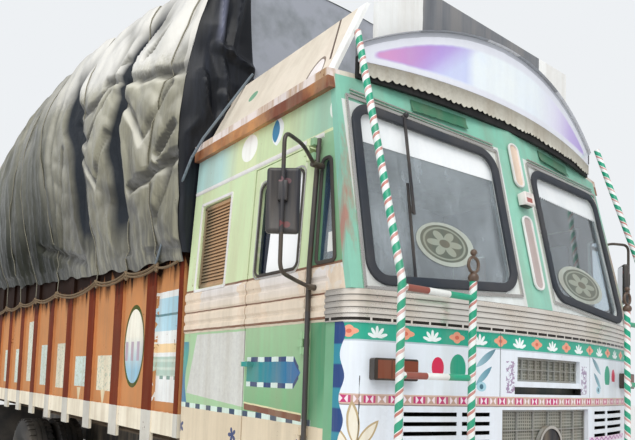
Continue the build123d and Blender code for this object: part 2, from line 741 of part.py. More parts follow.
def cab_step():
    """Entry step below the door, hung from the skirt."""
    step = box((CAB_HALF - 190, CAB_HALF - WALL), (430, 610), (610, 640))
    for y in (430, 598):
        step += box((CAB_HALF - 190, CAB_HALF - WALL), (y, y + 12), (640, FLOOR_Z[0]))
    return step


# Chassis
def chassis_frame():
    """Two channel rails with the cross-members between them."""
    z0, z1 = RAIL_Z
    inner = RAIL_HALF - RAIL_FLANGE
    channel = outline([(RAIL_HALF, z0), (RAIL_HALF, z1), (inner, z1), (inner, z1 - RAIL_WEB),
                       (RAIL_HALF - RAIL_WEB, z1 - RAIL_WEB), (RAIL_HALF - RAIL_WEB, z0 + RAIL_WEB),
                       (inner, z0 + RAIL_WEB), (inner, z0)])
    frame = prism_y(channel, RAIL_Y)
    frame += mirrored(frame)
    span = RAIL_HALF - RAIL_WEB
    for y in CROSS_Y:
        member = box((-span, span), (y - 50, y + 50), (z0 + RAIL_WEB, z1 - RAIL_WEB))
        member -= box((-span, span), (y - 42, y + 51), (z0 + RAIL_WEB + 8, z1 - RAIL_WEB - 8))
        frame += member
    return frame


def front_bumper():
    """Channel bumper with swept ends, on two brackets."""
    front = BUMPER_FRONT
    face = outline([(-1180, front + 190), (-1180, front + 110), (-1000, front),
                    (1000, front), (1180, front + 110),
                    (1180, front + 190)])
    back = outline([(-1172, front + 200), (-1172, front + 116), (-996, front + 10), (996, front + 10),
                    (1172, front + 116), (1172, front + 200)])
    beam = prism_z(face, BUMPER_Z) - prism_z(back, (BUMPER_Z[0] + 10, BUMPER_Z[1] - 10))
    for x in (-RAIL_HALF + 20, RAIL_HALF - 20):
        bracket = box((x - 12, x + 12), (front + 10, RAIL_Y[0]), (BUMPER_Z[0] + 60, SKIRT_Z - 20))
        beam += bracket
    for x in (-TOW_X, TOW_X):
        beam -= Pos(x, front + 5, TOW_Z) * Rot(90, 0, 0) * Cylinder(TOW_BORE / 2, 60)
    return beam


def rear_bumper():
    """Under-run guard on two hangers below the rails."""
    bar = box((-1080, 1080), (BUMPER_REAR - 60, BUMPER_REAR), (560, 680))
    bar -= box((-1072, 1072), (BUMPER_REAR - 61, BUMPER_REAR - 8), (568, 672))
    for x in (-RAIL_HALF + 40, RAIL_HALF - 40):
        bar += box((x - 30, x + 30), (BUMPER_REAR - 60, BUMPER_REAR - 8), (568, RAIL_Z[0]))
    return bar


def front_axle():
    """Forged I-beam that drops between the spring pads, with a bored eye at each end."""
    half = outline([(0, BEAM_LOW - 48), (560, BEAM_LOW - 48), (690, 470), (KINGPIN_X, 470), (KINGPIN_X, 560),
                    (680, 560), (540, BEAM_LOW + 48), (0, BEAM_LOW + 48)])
    beam = prism_y(half, (FRONT_AXLE_Y - 40, FRONT_AXLE_Y + 40))
    web = outline([(-1, BEAM_LOW - 30), (552, BEAM_LOW - 30), (672, 490), (735, 490), (735, 540), (688, 540),
                   (548, BEAM_LOW + 30), (-1, BEAM_LOW + 30)])
    for y in ((-41, -8), (8, 41)):
        beam -= prism_y(web, (FRONT_AXLE_Y + y[0], FRONT_AXLE_Y + y[1]))
    beam += Pos(KINGPIN_X, FRONT_AXLE_Y, 515) * Cylinder(44, 90)
    beam += box((SPRING_X - 45, SPRING_X + 45), (FRONT_AXLE_Y - 80, FRONT_AXLE_Y + 80),
                (BEAM_LOW + 20, FRONT_PAD_Z))
    beam -= Pos(KINGPIN_X, FRONT_AXLE_Y, 515) * Cylinder(KINGPIN_R + BEARING_GAP, 100)
    return beam + mirrored(beam)


def spring_pack(centre_y, pad_z, leaves, length, eye_rise):
    """Leaf pack on its pad: main leaf with rolled eyes, shorter leaves below, and its hangers."""
    x = (SPRING_X - LEAF_W / 2, SPRING_X + LEAF_W / 2)
    top = pad_z + leaves * LEAF_T
    half = length / 2
    pack = None
    for k in range(leaves):
        reach = half * (1 - 0.72 * k / leaves)
        drop = (eye_rise * (reach / half) ** 2)
        z = top - k * LEAF_T
        upper = ThreePointArc((-reach, z + drop), (0, z), (reach, z + drop))
        lower = ThreePointArc((reach, z + drop - LEAF_T), (0, z - LEAF_T), (-reach, z + drop - LEAF_T))
        leaf = make_face([upper, Line((reach, z + drop), (reach, z + drop - LEAF_T)), lower,
                          Line((-reach, z + drop - LEAF_T), (-reach, z + drop))])
        leaf = prism_x(Pos(centre_y, 0) * leaf, x)
        pack = leaf if pack is None else pack + leaf
    for end in (-1, 1):
        eye_y = centre_y + end * half
        eye_z = top + eye_rise + 12
        pack += Pos(SPRING_X, eye_y, eye_z) * Rot(0, 90, 0) * Cylinder(26, LEAF_W)
        hanger = outline([(eye_y - 45, RAIL_Z[0]), (eye_y + 45, RAIL_Z[0]), (eye_y + 20, eye_z - 20),
                          (eye_y - 20, eye_z - 20)])
        for side in (x[0] - 11, x[1] + 1):
            pack += prism_x(hanger, (side, side + 10))
        pack += Pos(SPRING_X, eye_y, eye_z) * Rot(0, 90, 0) * Cylinder(11, LEAF_W + 20)
    pack += box((x[0] - 8, x[1] + 8), (centre_y - 60, centre_y + 60), (top, top + 16))
    return pack


def front_springs():
    return both(spring_pack(FRONT_AXLE_Y, FRONT_PAD_Z, 8, 1300, 60))


def rear_springs():
    return both(spring_pack(REAR_AXLE_Y, REAR_PAD_Z, 7, 1400, 20))


def rear_axle():
    """Banjo housing with its tubes, spring pads and spindles."""
    tube = Pos(0, REAR_AXLE_Y, AXLE_Z) * Rot(0, 90, 0) * Cylinder(70, 2 * 560)
    axle = tube + Pos(0, REAR_AXLE_Y, AXLE_Z) * Rot(0, 90, 0) * Cylinder(REAR_SPINDLE_R, 2 * 1030)
    axle += Pos(0, REAR_AXLE_Y, AXLE_Z) * Rot(90, 0, 0) * Cylinder(205, 150)
    axle += Pos(0, REAR_AXLE_Y + 75, AXLE_Z) * Rot(90, 0, 0) * Cone(150, 190, 70, align=BACKWARD)
    axle += Pos(0, REAR_AXLE_Y - 75, AXLE_Z) * Rot(90, 0, 0) * Cone(150, 70, 190, align=FORWARD)
    for x in (-SPRING_X, SPRING_X):
        axle += box((x - 45, x + 45), (REAR_AXLE_Y - 60, REAR_AXLE_Y + 60), (AXLE_Z, REAR_PAD_Z))
    return axle


def engine_block():
    """Engine with its gearbox, as plain blocks on four mounts between the rails."""
    half, y, z = ENGINE
    engine = box((-half, half), y, z) + box((-150, 150), (y[1], GEARBOX_END), (720, 1010))
    engine += Pos(0, GEARBOX_END, SHAFT_Z) * Rot(90, 0, 0) * Cylinder(66, 60, align=BACKWARD)
    for mount in (y[0] + 200, y[1] - 200):
        engine += box((RAIL_WEB - RAIL_HALF, RAIL_HALF - RAIL_WEB), (mount - 40, mount + 40), (840, 900))
    return engine


def radiator():
    half = COWL[0] - 30
    return box((-half, half), (75, 150), (RAIL_Z[1], 1600))


def propshaft():
    """Propeller shaft with its end flanges, from the gearbox to the rear axle."""
    front = (0, GEARBOX_END + 60, SHAFT_Z)
    rear = (0, REAR_AXLE_Y - 75 - 190, AXLE_Z)
    shaft = rod((0, front[1] + 12, front[2]), (0, rear[1] - 12, rear[2]), 45)
    shaft += Pos(*front) * Rot(90, 0, 0) * Cylinder(66, 20, align=BACKWARD)
    return shaft + Pos(*rear) * Rot(90, 0, 0) * Cylinder(66, 20, align=FORWARD)


def fuel_tank():
    """Strapped round-cornered tank on the driver's side rail."""
    profile = outline([(-1060, 560), (-520, 560), (-520, 960), (-1060, 960)], 90)
    tank = prism_y(profile, TANK_Y)
    strap = outline([(-1066, 554), (-514, 554), (-514, 966), (-1066, 966)], 95)
    for y in (TANK_Y[0] + 200, TANK_Y[1] - 200):
        tank += prism_y(strap, (y - 25, y + 25))
        tank += box((-520, -RAIL_HALF), (y - 30, y + 30), (RAIL_Z[0] + 10, RAIL_Z[1] - 10))
    return tank


def battery_box():
    """Ribbed box on the other rail."""
    crate = box((540, 980), (2400, 2950), (600, 960))
    for y in (2480, 2675, 2870):
        crate += box((980, 990), (y - 20, y + 20), (620, 940))
    for y in (2500, 2850):
        crate += box((RAIL_HALF, 540), (y - 30, y + 30), (RAIL_Z[0] + 10, RAIL_Z[1] - 10))
    return crate


def mud_flap(y):
    """Flap behind the rear wheels, hung from a bearer."""
    return box((600, 1180), (y - 5, y + 5), (330, BEARER_Z[0]))


# Load body
def post_y(k):
    return POST_FIRST + k * POST_PITCH


def load_floor():
    """Planked floor on cross-bearers and two long runners."""
    inner = BODY_HALF - POST_OUT - SIDE_PANEL
    y = (BODY_FRONT, BODY_REAR - GATE_T - 5)
    floor = box((-inner, inner), y, BED_FLOOR_Z)
    for k in range(-1, POST_COUNT + 1):
        yc = min(max(post_y(k), y[0] + 50), y[1] - 50)
        floor += bearer(yc, inner)
    for side in (-1, 1):
        x = sorted((side * RAIL_HALF, side * (RAIL_HALF - RAIL_FLANGE)))
        floor += box(x, (y[0] + 100, RAIL_Y[1]), (RAIL_Z[1], BEARER_Z[0]))
    for x in GATE_HINGE_X:
        for ear in (x - 37, x + 27):
            floor += box((ear, ear + 10), (y[1] - 1, GATE_PIN[0] + 12), (GATE_PIN[1] - 13, GATE_PIN[1] + 13))
        floor += Pos(x, *GATE_PIN) * Rot(0, 90, 0) * Cylinder(GATE_PIN_R, 70)
    return floor


def bearer(y, half):
    """Cross-bearer with tapered ends."""
    z0, z1 = BEARER_Z[0], BED_FLOOR_Z[0]
    profile = outline([(-half, z1), (half, z1), (half, z0 + 60),
                       (half - 220, z0), (220 - half, z0), (-half, z0 + 60)])
    return prism_y(profile, (y - 40, y + 40))


def load_side():
    """+X side: sill, boarded panel, upright posts and top rail."""
    outer = BODY_HALF
    face = outer - POST_OUT
    y = (BODY_FRONT, BODY_REAR)
    side = box((face - SIDE_PANEL, face), y, (SILL_Z[0], SIDE_TOP))
    side += box((face, outer - 8), y, SILL_Z)
    for k in range(POST_COUNT):
        yc = post_y(k)
        side += box((face, outer), (yc - POST_W / 2, yc + POST_W / 2), (POST_LOW, SIDE_TOP))
    side += box((face, outer), (BODY_REAR - REAR_POST_W, BODY_REAR), (SILL_Z[0], SIDE_TOP))
    side += box((face, outer), (BODY_FRONT, BODY_FRONT + 60), (SILL_Z[0], SIDE_TOP))
    return side


def headboard():
    inner = BODY_HALF - POST_OUT - SIDE_PANEL
    board = box((-inner, inner), (BODY_FRONT, BODY_FRONT + 30), (BED_FLOOR_Z[1], SIDE_TOP))
    for x in (-900, -450, 0, 450, 900):
        board += box((x - 40, x + 40), (BODY_FRONT + 30, BODY_FRONT + 60), (BED_FLOOR_Z[1], SIDE_TOP))
    return board


def tailgate():
    """Bottom-hinged gate with a frame, boards and three hinge loops."""
    half = BODY_HALF - POST_OUT - SIDE_PANEL - 6
    y = (BODY_REAR - GATE_T, BODY_REAR)
    gate = box((-half, half), y, GATE_Z)
    for x in (-750, 0, 750):
        for z in ((GATE_Z[0] + 80, 1810), (1880, GATE_Z[1] - 80)):
            gate -= box((x - 310, x + 310), (y[1] - 18, y[1] + 1), z)
    for x in GATE_HINGE_X:
        gate += box((x - 25, x + 25), (BODY_REAR - 6, BODY_REAR + 8), (GATE_PIN[1], GATE_Z[0] + 120))
        gate += Pos(x, *GATE_PIN) * Rot(0, 90, 0) * Cylinder(13, 50)
        gate -= Pos(x, *GATE_PIN) * Rot(0, 90, 0) * Cylinder(GATE_PIN_R + BEARING_GAP, 60)
    return gate


def tarp_wire(section, inset):
    """Bulged cover section of lines and arcs."""
    y, hem, foot, bulge, bulge_z, top = section
    low = hem - (1 if inset else 0)
    foot, bulge, top = foot - inset, bulge - inset, top - inset
    shoulder = (bulge * TARP_SHOULDER[0], top - TARP_SHOULDER[1])
    edges = [Line((-foot, low), (foot, low))]
    for side in (1, -1):
        waist = (side * (foot + bulge) / 2 + side * 22, (low + bulge_z) / 2)
        chest = (side * bulge * 0.962, bulge_z + (top - bulge_z) * 0.6)
        edges.append(ThreePointArc((side * foot, low), waist, (side * bulge, bulge_z)))
        edges.append(ThreePointArc((side * bulge, bulge_z), chest, (side * shoulder[0], shoulder[1])))
    edges.append(ThreePointArc((shoulder[0], shoulder[1]), (0, top), (-shoulder[0], shoulder[1])))
    return Pos(0, y, 0) * (Plane.XZ * make_face(edges))


def tarpaulin():
    """Cover over the load body: hollow, open below, closed at both ends."""
    outer = loft([tarp_wire(s, 0) for s in TARP_SECTIONS], ruled=True)
    inner = []
    for k, s in enumerate(TARP_SECTIONS):
        y = s[0] + (TARP_T if k == 0 else -TARP_T if k == len(TARP_SECTIONS) - 1 else 0)
        inner.append(tarp_wire((y,) + s[1:], TARP_T))
    return outer - loft(inner, ruled=True)


# Wheels and steering
def tyre(x):
    """Tyre with two shoulder grooves, centred on X."""
    w = TYRE_W / 2
    half = [(RIM_R, -BEAD_HALF), (RIM_R + 16, -BEAD_HALF), (RIM_R + 60, -w * 0.9), (RIM_R + 140, -w),
            (TYRE_R - 60, -w * 0.97), (TYRE_R - 12, -w * 0.82), (TYRE_R - 2, -w * 0.5),
            (TYRE_R - 16, -w * 0.46), (TYRE_R - 16, -w * 0.38), (TYRE_R, -w * 0.34)]
    points = half + [(r, -v) for r, v in reversed(half)]
    ring = revolve(Plane.XZ * make_face(Polyline(*[(v, r) for r, v in points], close=True)), Axis.X)
    return Pos(x, 0, AXLE_Z) * ring


def wheel_disc(x, dish, hub, bore, drum):
    """Rim with a dished disc, hand holes, hub and brake drum. Dish and drum go along +X."""
    bead = BEAD_HALF + GLASS_GAP
    seat = RIM_R - GLASS_GAP
    w = bead + 8
    rim = [(RIM_R + 14, -w), (RIM_R + 14, -bead), (seat, -bead), (seat - 22, -20), (seat - 22, 20),
           (seat, bead), (RIM_R + 14, bead), (RIM_R + 14, w), (RIM_R - 12, w), (RIM_R - 34, 26),
           (RIM_R - 34, -26), (RIM_R - 12, -w)]
    wheel = revolve(Plane.XZ * make_face(Polyline(*[(v, r) for r, v in rim], close=True)), Axis.X)
    disc = [(-14, RIM_R - 34), (dish - 14, 130), (dish - 14, 60), (dish, 60), (dish, 136), (0, RIM_R - 28), ]
    wheel += revolve(Plane.XZ * make_face(Polyline(*disc, close=True)), Axis.X)
    for k in range(8):
        hole = Rot(45 * k + 22.5, 0, 0) * Pos(dish / 2, 0, 182) * Rot(0, 90, 0) * Cylinder(24, 200)
        wheel -= hole
    wheel = Pos(x, 0, AXLE_Z) * wheel
    wheel += Pos((hub[0] + hub[1]) / 2, 0, AXLE_Z) * Rot(0, 90, 0) * Cylinder(76, hub[1] - hub[0])
    if drum:
        cup = Pos((drum[0] + drum[1]) / 2, 0, AXLE_Z) * Rot(0, 90, 0) * Cylinder(205, drum[1] - drum[0])
        cup -= Pos(drum[0] - 1, 0, AXLE_Z) * Rot(0, 90, 0) * Cylinder(190, drum[1] - drum[0] - 11, align=FORWARD)
        wheel += cup
    wheel -= Pos(bore[1], 0, AXLE_Z) * Rot(0, -90, 0) * Cylinder(bore[0], 500, align=FORWARD)
    return wheel


def front_wheel():
    """+X front wheel: disc dished outward."""
    return Pos(0, FRONT_AXLE_Y, 0) * wheel_disc(FRONT_WHEEL_X, 60, (860, 1090), (SPINDLE_R + BEARING_GAP, 1065),
                                                (862, 980))


def rear_wheel():
    """+X twin wheel: two rims back to back, with a long hub."""
    outer = wheel_disc(TWIN_OUTER_X, -60, (700, 1075), (REAR_SPINDLE_R + BEARING_GAP, 1045), None)
    inner = wheel_disc(TWIN_OUTER_X - TWIN_PITCH, 60, (700, 760), (REAR_SPINDLE_R + BEARING_GAP, 1045), None)
    spacer = Pos(TWIN_OUTER_X - TWIN_PITCH / 2, 0, AXLE_Z) * Rot(0, 90, 0) * Cylinder(128, TWIN_PITCH - 108)
    spacer -= Pos(TWIN_OUTER_X - TWIN_PITCH / 2, 0, AXLE_Z) * Rot(0, 90, 0) * Cylinder(70, TWIN_PITCH)
    return Pos(0, REAR_AXLE_Y, 0) * (outer + inner + spacer)


def knuckle():
    """+X knuckle: fork round the axle eye, kingpin, spindle and steering arm."""
    eye = 45
    fork = None
    for end in (-1, 1):
        z = AXLE_Z + end * (eye + EAR_GAP + EAR_T / 2)
        ear = Pos(KINGPIN_X, 0, z) * Cylinder(40, EAR_T)
        ear += box((KINGPIN_X, KINGPIN_X + 60), (-40, 40), (z - EAR_T / 2, z + EAR_T / 2))
        fork = ear if fork is None else fork + ear
    reach = eye + EAR_GAP + EAR_T
    fork += box((KINGPIN_X + 46, KINGPIN_X + 60), (-40, 40), (AXLE_Z - reach, AXLE_Z + reach))
    fork += Pos(KINGPIN_X, 0, AXLE_Z) * Cylinder(KINGPIN_R, 2 * reach)
    fork += rod((KINGPIN_X + 50, 0, AXLE_Z), (1060, 0, AXLE_Z), SPINDLE_R)
    arm_z = (AXLE_Z - reach, AXLE_Z - reach + EAR_T)
    fork += box((KINGPIN_X - 18, KINGPIN_X + 18), (20, STEER_ARM), arm_z)
    fork += Pos(KINGPIN_X, STEER_ARM, (arm_z[0] + arm_z[1]) / 2) * Cylinder(24, EAR_T)
    fork += Pos(KINGPIN_X, STEER_ARM, arm_z[0]) * Cylinder(TIE_PIN_R, TIE_DROP, align=BACKWARD)
    return Pos(0, FRONT_AXLE_Y, 0) * fork


def tie_rod():
    """Rod behind the axle with an eye at each end."""
    z = AXLE_Z - 75 - TIE_DROP / 2 - 1
    y = FRONT_AXLE_Y + STEER_ARM
    bar = rod((20 - KINGPIN_X, y, z), (KINGPIN_X - 20, y, z), TIE_R)
    for x in (-KINGPIN_X, KINGPIN_X):
        bar += Pos(x, y, z) * Cylinder(27, TIE_DROP - 8)
        bar -= Pos(x, y, z) * Cylinder(TIE_PIN_R + BEARING_GAP, TIE_DROP)
    return bar


def build():
    node("chassis_frame", chassis_frame())
    node("front_bumper", front_bumper())
    node("rear_bumper", rear_bumper())
    node("front_axle", front_axle())
    node("rear_axle", rear_axle())
    node("leaf_springs", front_springs() + rear_springs())
    node("engine_block", engine_block())
    node("radiator", radiator())
    node("propshaft", propshaft())
    node("fuel_tank", fuel_tank())
    node("battery_box", battery_box())
    node("mud_flaps", both(mud_flap(post_y(8))))
    node("cab_nose", cab_nose())
    node("grille_mesh", grille_mesh())
    node("belt_band", belt_band())
    node("screen_frame", screen_frame())
    node("cab_glass", windscreens() + both(quarter_glass()))
    side = cab_side()
    node("cab_side_left", side)
    node("cab_side_right", mirrored(side))
    leaf = door()
    node("door_left", leaf)
    node("door_right", mirrored(leaf))
    glass = door_glass()
    node("door_glass_left", glass)
    node("door_glass_right", mirrored(glass))
    node("vent_shutters", both(vent_shutter()))
    node("cab_floor", cab_floor())
    node("cab_rear_wall", cab_rear_wall())
    node("cab_roof", cab_roof())
    node("crown_board", crown_board() + crown_valance())
    node("roof_rack", roof_rack())
    node("dashboard", dashboard())
    node("steering_wheel", steering_wheel())
    node("seats", seats())
    node("guard_rails", both(guard_rail()))
    node("mirrors", both(mirror_set()))
    node("wiper", wiper())
    node("front_lamps", both(headlamp()) + both(corner_lamp()))
    node("cab_steps", both(cab_step()))
    node("load_floor", load_floor())
    side = load_side()
    node("load_side_left", side)
    node("load_side_right", mirrored(side))
    node("headboard", headboard())
    node("tailgate", tailgate())
    node("tarpaulin", tarpaulin())
    wheel, rubber = front_wheel(), Pos(0, FRONT_AXLE_Y, 0) * tyre(FRONT_WHEEL_X)
    node("front_rim_left", wheel)
    node("front_rim_right", mirrored(wheel))
    node("front_tyre_left", rubber)
    node("front_tyre_right", mirrored(rubber))
    twins = rear_wheel()
    rubbers = [Pos(0, REAR_AXLE_Y, 0) * tyre(TWIN_OUTER_X - k * TWIN_PITCH) for k in (0, 1)]
    node("rear_rims_left", twins)
    node("rear_rims_right", mirrored(twins))
    node("rear_tyres_left", rubbers)
    node("rear_tyres_right", [mirrored(r) for r in rubbers])
    joint = knuckle()
    node("knuckle_left", joint)
    node("knuckle_right", mirrored(joint))
    node("tie_rod", tie_rod())


def save_all():
    """Centre the length on the origin and write one file for each node."""
    pieces = [p for solids in NODES.values() for p in solids]
    low = min(p.bounding_box().min.Y for p in pieces)
    high = max(p.bounding_box().max.Y for p in pieces)
    shift = -(low + high) / 2
    print("Y shift", round(shift, 3), "length", round(high - low, 1))
    os.makedirs("parts", exist_ok=True)
    for name, solids in NODES.items():
        moved = [Pos(0, shift, 0) * p for p in solids]
        shape = moved[0] if len(moved) == 1 else Compound(children=moved)
        export_step(shape, f"parts/{name}.step")


build()
save_all()
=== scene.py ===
import ast
import math

import bmesh
import bpy
import numpy as np
from mathutils import Matrix, Vector, noise


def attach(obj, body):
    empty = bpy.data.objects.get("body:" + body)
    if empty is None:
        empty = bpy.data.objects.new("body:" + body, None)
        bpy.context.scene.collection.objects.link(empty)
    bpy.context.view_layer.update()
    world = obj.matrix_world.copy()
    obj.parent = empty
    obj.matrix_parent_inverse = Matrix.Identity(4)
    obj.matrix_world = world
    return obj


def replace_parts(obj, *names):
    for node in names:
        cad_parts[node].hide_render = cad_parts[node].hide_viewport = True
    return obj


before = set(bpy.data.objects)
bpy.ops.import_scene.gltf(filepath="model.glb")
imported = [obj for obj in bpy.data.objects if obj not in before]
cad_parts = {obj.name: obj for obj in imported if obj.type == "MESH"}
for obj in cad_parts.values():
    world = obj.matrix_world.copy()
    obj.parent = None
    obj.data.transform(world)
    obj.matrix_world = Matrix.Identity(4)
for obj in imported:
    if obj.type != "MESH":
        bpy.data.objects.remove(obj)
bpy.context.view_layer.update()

# Studio: a pale floor under a pale sky, with one wide soft lamp and a weak one from the side.
# The camera stands where the photograph was taken, ahead of the driver's corner at head height.
FOCAL_PX = 610.89
PHOTO_W, PHOTO_H = 635, 440
CENTRE_PX = (318.19, 337.24)
YAW, PITCH, ROLL = -0.658218, 0.068501, -0.032747
EYE = (-2.8387, -5.7575, 1.60)


def linear(code):
    """An sRGB hex colour as the linear colour that sockets take."""
    parts = [int(code[k:k + 2], 16) / 255 for k in (1, 3, 5)]
    return [p / 12.92 if p <= 0.04045 else ((p + 0.055) / 1.055) ** 2.4 for p in parts] + [1.0]


def add(tree, kind, inputs=None, **settings):
    """Add a shader node, set it up, and fill or link its inputs."""
    node = tree.nodes.new("ShaderNode" + kind)
    for name, value in settings.items():
        setattr(node, name, value)
    for name, value in (inputs or {}).items():
        if isinstance(value, bpy.types.NodeSocket):
            tree.links.new(value, node.inputs[name])
        else:
            node.inputs[name].default_value = value
    return node


eye = bpy.data.cameras.new("photo_camera")
eye.sensor_width = 36
eye.lens = FOCAL_PX * 36 / PHOTO_W
eye.shift_x = -(CENTRE_PX[0] - PHOTO_W / 2) / PHOTO_W
eye.shift_y = (CENTRE_PX[1] - PHOTO_H / 2) / PHOTO_W
eye.clip_end = 200
stand = bpy.data.objects.new("photo_camera", eye)
bpy.context.collection.objects.link(stand)
turn = Matrix.Rotation(YAW, 3, "Z") @ Matrix.Rotation(PITCH, 3, "X") @ Matrix.Rotation(ROLL, 3, "Y")
right, ahead, up = turn.col
stand.matrix_world = Matrix.Translation(EYE) @ Matrix((right, up, -ahead)).transposed().to_4x4()
bpy.context.scene.camera = stand

bpy.ops.object.select_all(action="DESELECT")
bpy.ops.mesh.primitive_plane_add(size=120, location=(0, 0, -0.002))
floor = bpy.context.object
floor.name = "studio_floor"
paper = bpy.data.materials.new("studio_paper")
paper.use_nodes = True
paper.node_tree.nodes["Principled BSDF"].inputs["Base Color"].default_value = linear("#e4e4e2")
paper.node_tree.nodes["Principled BSDF"].inputs["Roughness"].default_value = 0.9
floor.data.materials.append(paper)

for title, strength, width, aim, colour in (
    ("sky_lamp", 1.75, 50, (0.42, 0.62, -1.0), "#fffdf8"),
    ("side_lamp", 0.75, 70, (1.0, 0.35, -0.35), "#f4f8ff"),
):
    lamp = bpy.data.lights.new(title, "SUN")
    lamp.energy = strength
    lamp.angle = math.radians(width)
    lamp.color = linear(colour)[:3]
    hung = bpy.data.objects.new(title, lamp)
    bpy.context.collection.objects.link(hung)
    hung.rotation_euler = Vector(aim).to_track_quat("-Z", "Y").to_euler()

world = bpy.data.worlds.new("pale_sky")
bpy.context.scene.world = world
world.use_nodes = True
world.node_tree.nodes.clear()
rays = add(world.node_tree, "LightPath").outputs
seen = add(world.node_tree, "Math", {0: rays["Is Camera Ray"], 1: rays["Is Transmission Ray"]},
           operation="MAXIMUM").outputs[0]
lit = add(world.node_tree, "Background", {"Color": linear("#f2f5fa"), "Strength": 0.62}).outputs[0]
shown = add(world.node_tree, "Background", {"Color": linear("#eef1f4"), "Strength": 1.0}).outputs[0]
both_skies = add(world.node_tree, "MixShader", {0: seen, 1: lit, 2: shown}).outputs[0]
add(world.node_tree, "OutputWorld", {"Surface": both_skies})
bpy.context.scene.view_settings.view_transform = "Standard"


# Chassis: riveted channel rails, forged axles and leaf springs, all brushed with one black
# bitumen paint on the line. Years of road dust lie on it in runs.
def worked(tree, text, places):
    """Turn a painter's formula into nodes, one for each step. A comparison is 1 where it holds."""
    sums = {ast.Add: "ADD", ast.Sub: "SUBTRACT", ast.Mult: "MULTIPLY", ast.Div: "DIVIDE", ast.Lt: "LESS_THAN",
            ast.Gt: "GREATER_THAN", ast.And: "MINIMUM", ast.Or: "MAXIMUM"}
    words = {"abs": "ABSOLUTE", "low": "MINIMUM", "high": "MAXIMUM", "sin": "SINE", "cos": "COSINE",
             "root": "SQRT", "fract": "FRACT", "floor": "FLOOR", "angle": "ARCTAN2", "power": "POWER"}

    def sum_of(kind, given):
        given = [float(g) if isinstance(g, (int, float)) else g for g in given]
        last = given[0]
        for extra in given[1:]:
            last = add(tree, "Math", {0: last, 1: extra}, operation=kind).outputs[0]
        return last if len(given) > 1 else add(tree, "Math", {0: last}, operation=kind).outputs[0]

    def step(part):
        if isinstance(part, ast.Constant):
            return part.value
        if isinstance(part, ast.Name):
            return places[part.id]
        if isinstance(part, ast.UnaryOp):
            if isinstance(part.op, ast.Not):
                return sum_of("SUBTRACT", [1.0, step(part.operand)])
            if isinstance(part.operand, ast.Constant):
                return -part.operand.value
            return sum_of("MULTIPLY", [step(part.operand), -1.0])
        if isinstance(part, ast.BinOp):
            return sum_of(sums[type(part.op)], [step(part.left), step(part.right)])
        if isinstance(part, ast.BoolOp):
            return sum_of(sums[type(part.op)], [step(v) for v in part.values])
        if isinstance(part, ast.Compare):
            sides = [step(part.left)] + [step(c) for c in part.comparators]
            tests = [sum_of(sums[type(op)], pair) for op, pair in zip(part.ops, zip(sides, sides[1:]))]
            return tests[0] if len(tests) == 1 else sum_of("MINIMUM", tests)
        given = [step(a) for a in part.args]
        if part.func.id == "clip":
            return sum_of("MINIMUM", [sum_of("MAXIMUM", [given[0], 0.0]), 1.0])
        return sum_of(words[part.func.id], given)

    return step(ast.parse(text.strip()).body[0].value)


def new_finish(title, hand=0.0):
    """An empty material, with places on the piece to paint by: x, y, z, a = |x|, and three grains."""
    finish = bpy.data.materials.new(title)
    finish.use_nodes = True
    tree = finish.node_tree
    tree.nodes.clear()
    here = add(tree, "TexCoord").outputs["Object"]
    broad = add(tree, "TexNoise", {"Vector": here, "Scale": 2.3, "Detail": 5.0, "Roughness": 0.6})
    fine = add(tree, "TexNoise", {"Vector": here, "Scale": 42.0, "Detail": 6.0, "Roughness": 0.7})
    drawn = add(tree, "Mapping", {"Vector": here, "Scale": (11.0, 11.0, 0.8)}).outputs[0]
    runs = add(tree, "TexNoise", {"Vector": drawn, "Scale": 1.0, "Detail": 5.0, "Roughness": 0.65})
    moved = here
    if hand:
        shaky = add(tree, "TexNoise", {"Vector": here, "Scale": 16.0, "Detail": 2.0}).outputs["Color"]
        moved = add(tree, "VectorMath", {0: shaky, 1: (hand * 2,) * 3, 2: here},
                    operation="MULTIPLY_ADD").outputs[0]
        moved = add(tree, "VectorMath", {0: moved, 1: (hand,) * 3}, operation="SUBTRACT").outputs[0]
    parts = add(tree, "SeparateXYZ", {0: moved}).outputs
    places = {"x": parts[0], "y": parts[1], "z": parts[2], "broad": broad.outputs[0], "fine": fine.outputs[0],
              "runs": runs.outputs[0], "here": here}
    places["a"] = worked(tree, "abs(x)", places)
    return finish, tree, places


def paint(tree, under, over, where):
    """Lay one colour over another where the mask says so."""
    over = linear(over) if isinstance(over, str) else over
    under = linear(under) if isinstance(under, str) else under
    return add(tree, "Mix", {0: where, 6: under, 7: over}, data_type="RGBA").outputs[2]


def skinned(finish, inputs):
    """Close a material with one surface shader."""
    tree = finish.node_tree
    add(tree, "OutputMaterial", {"Surface": add(tree, "BsdfPrincipled", inputs).outputs[0]})
    return finish


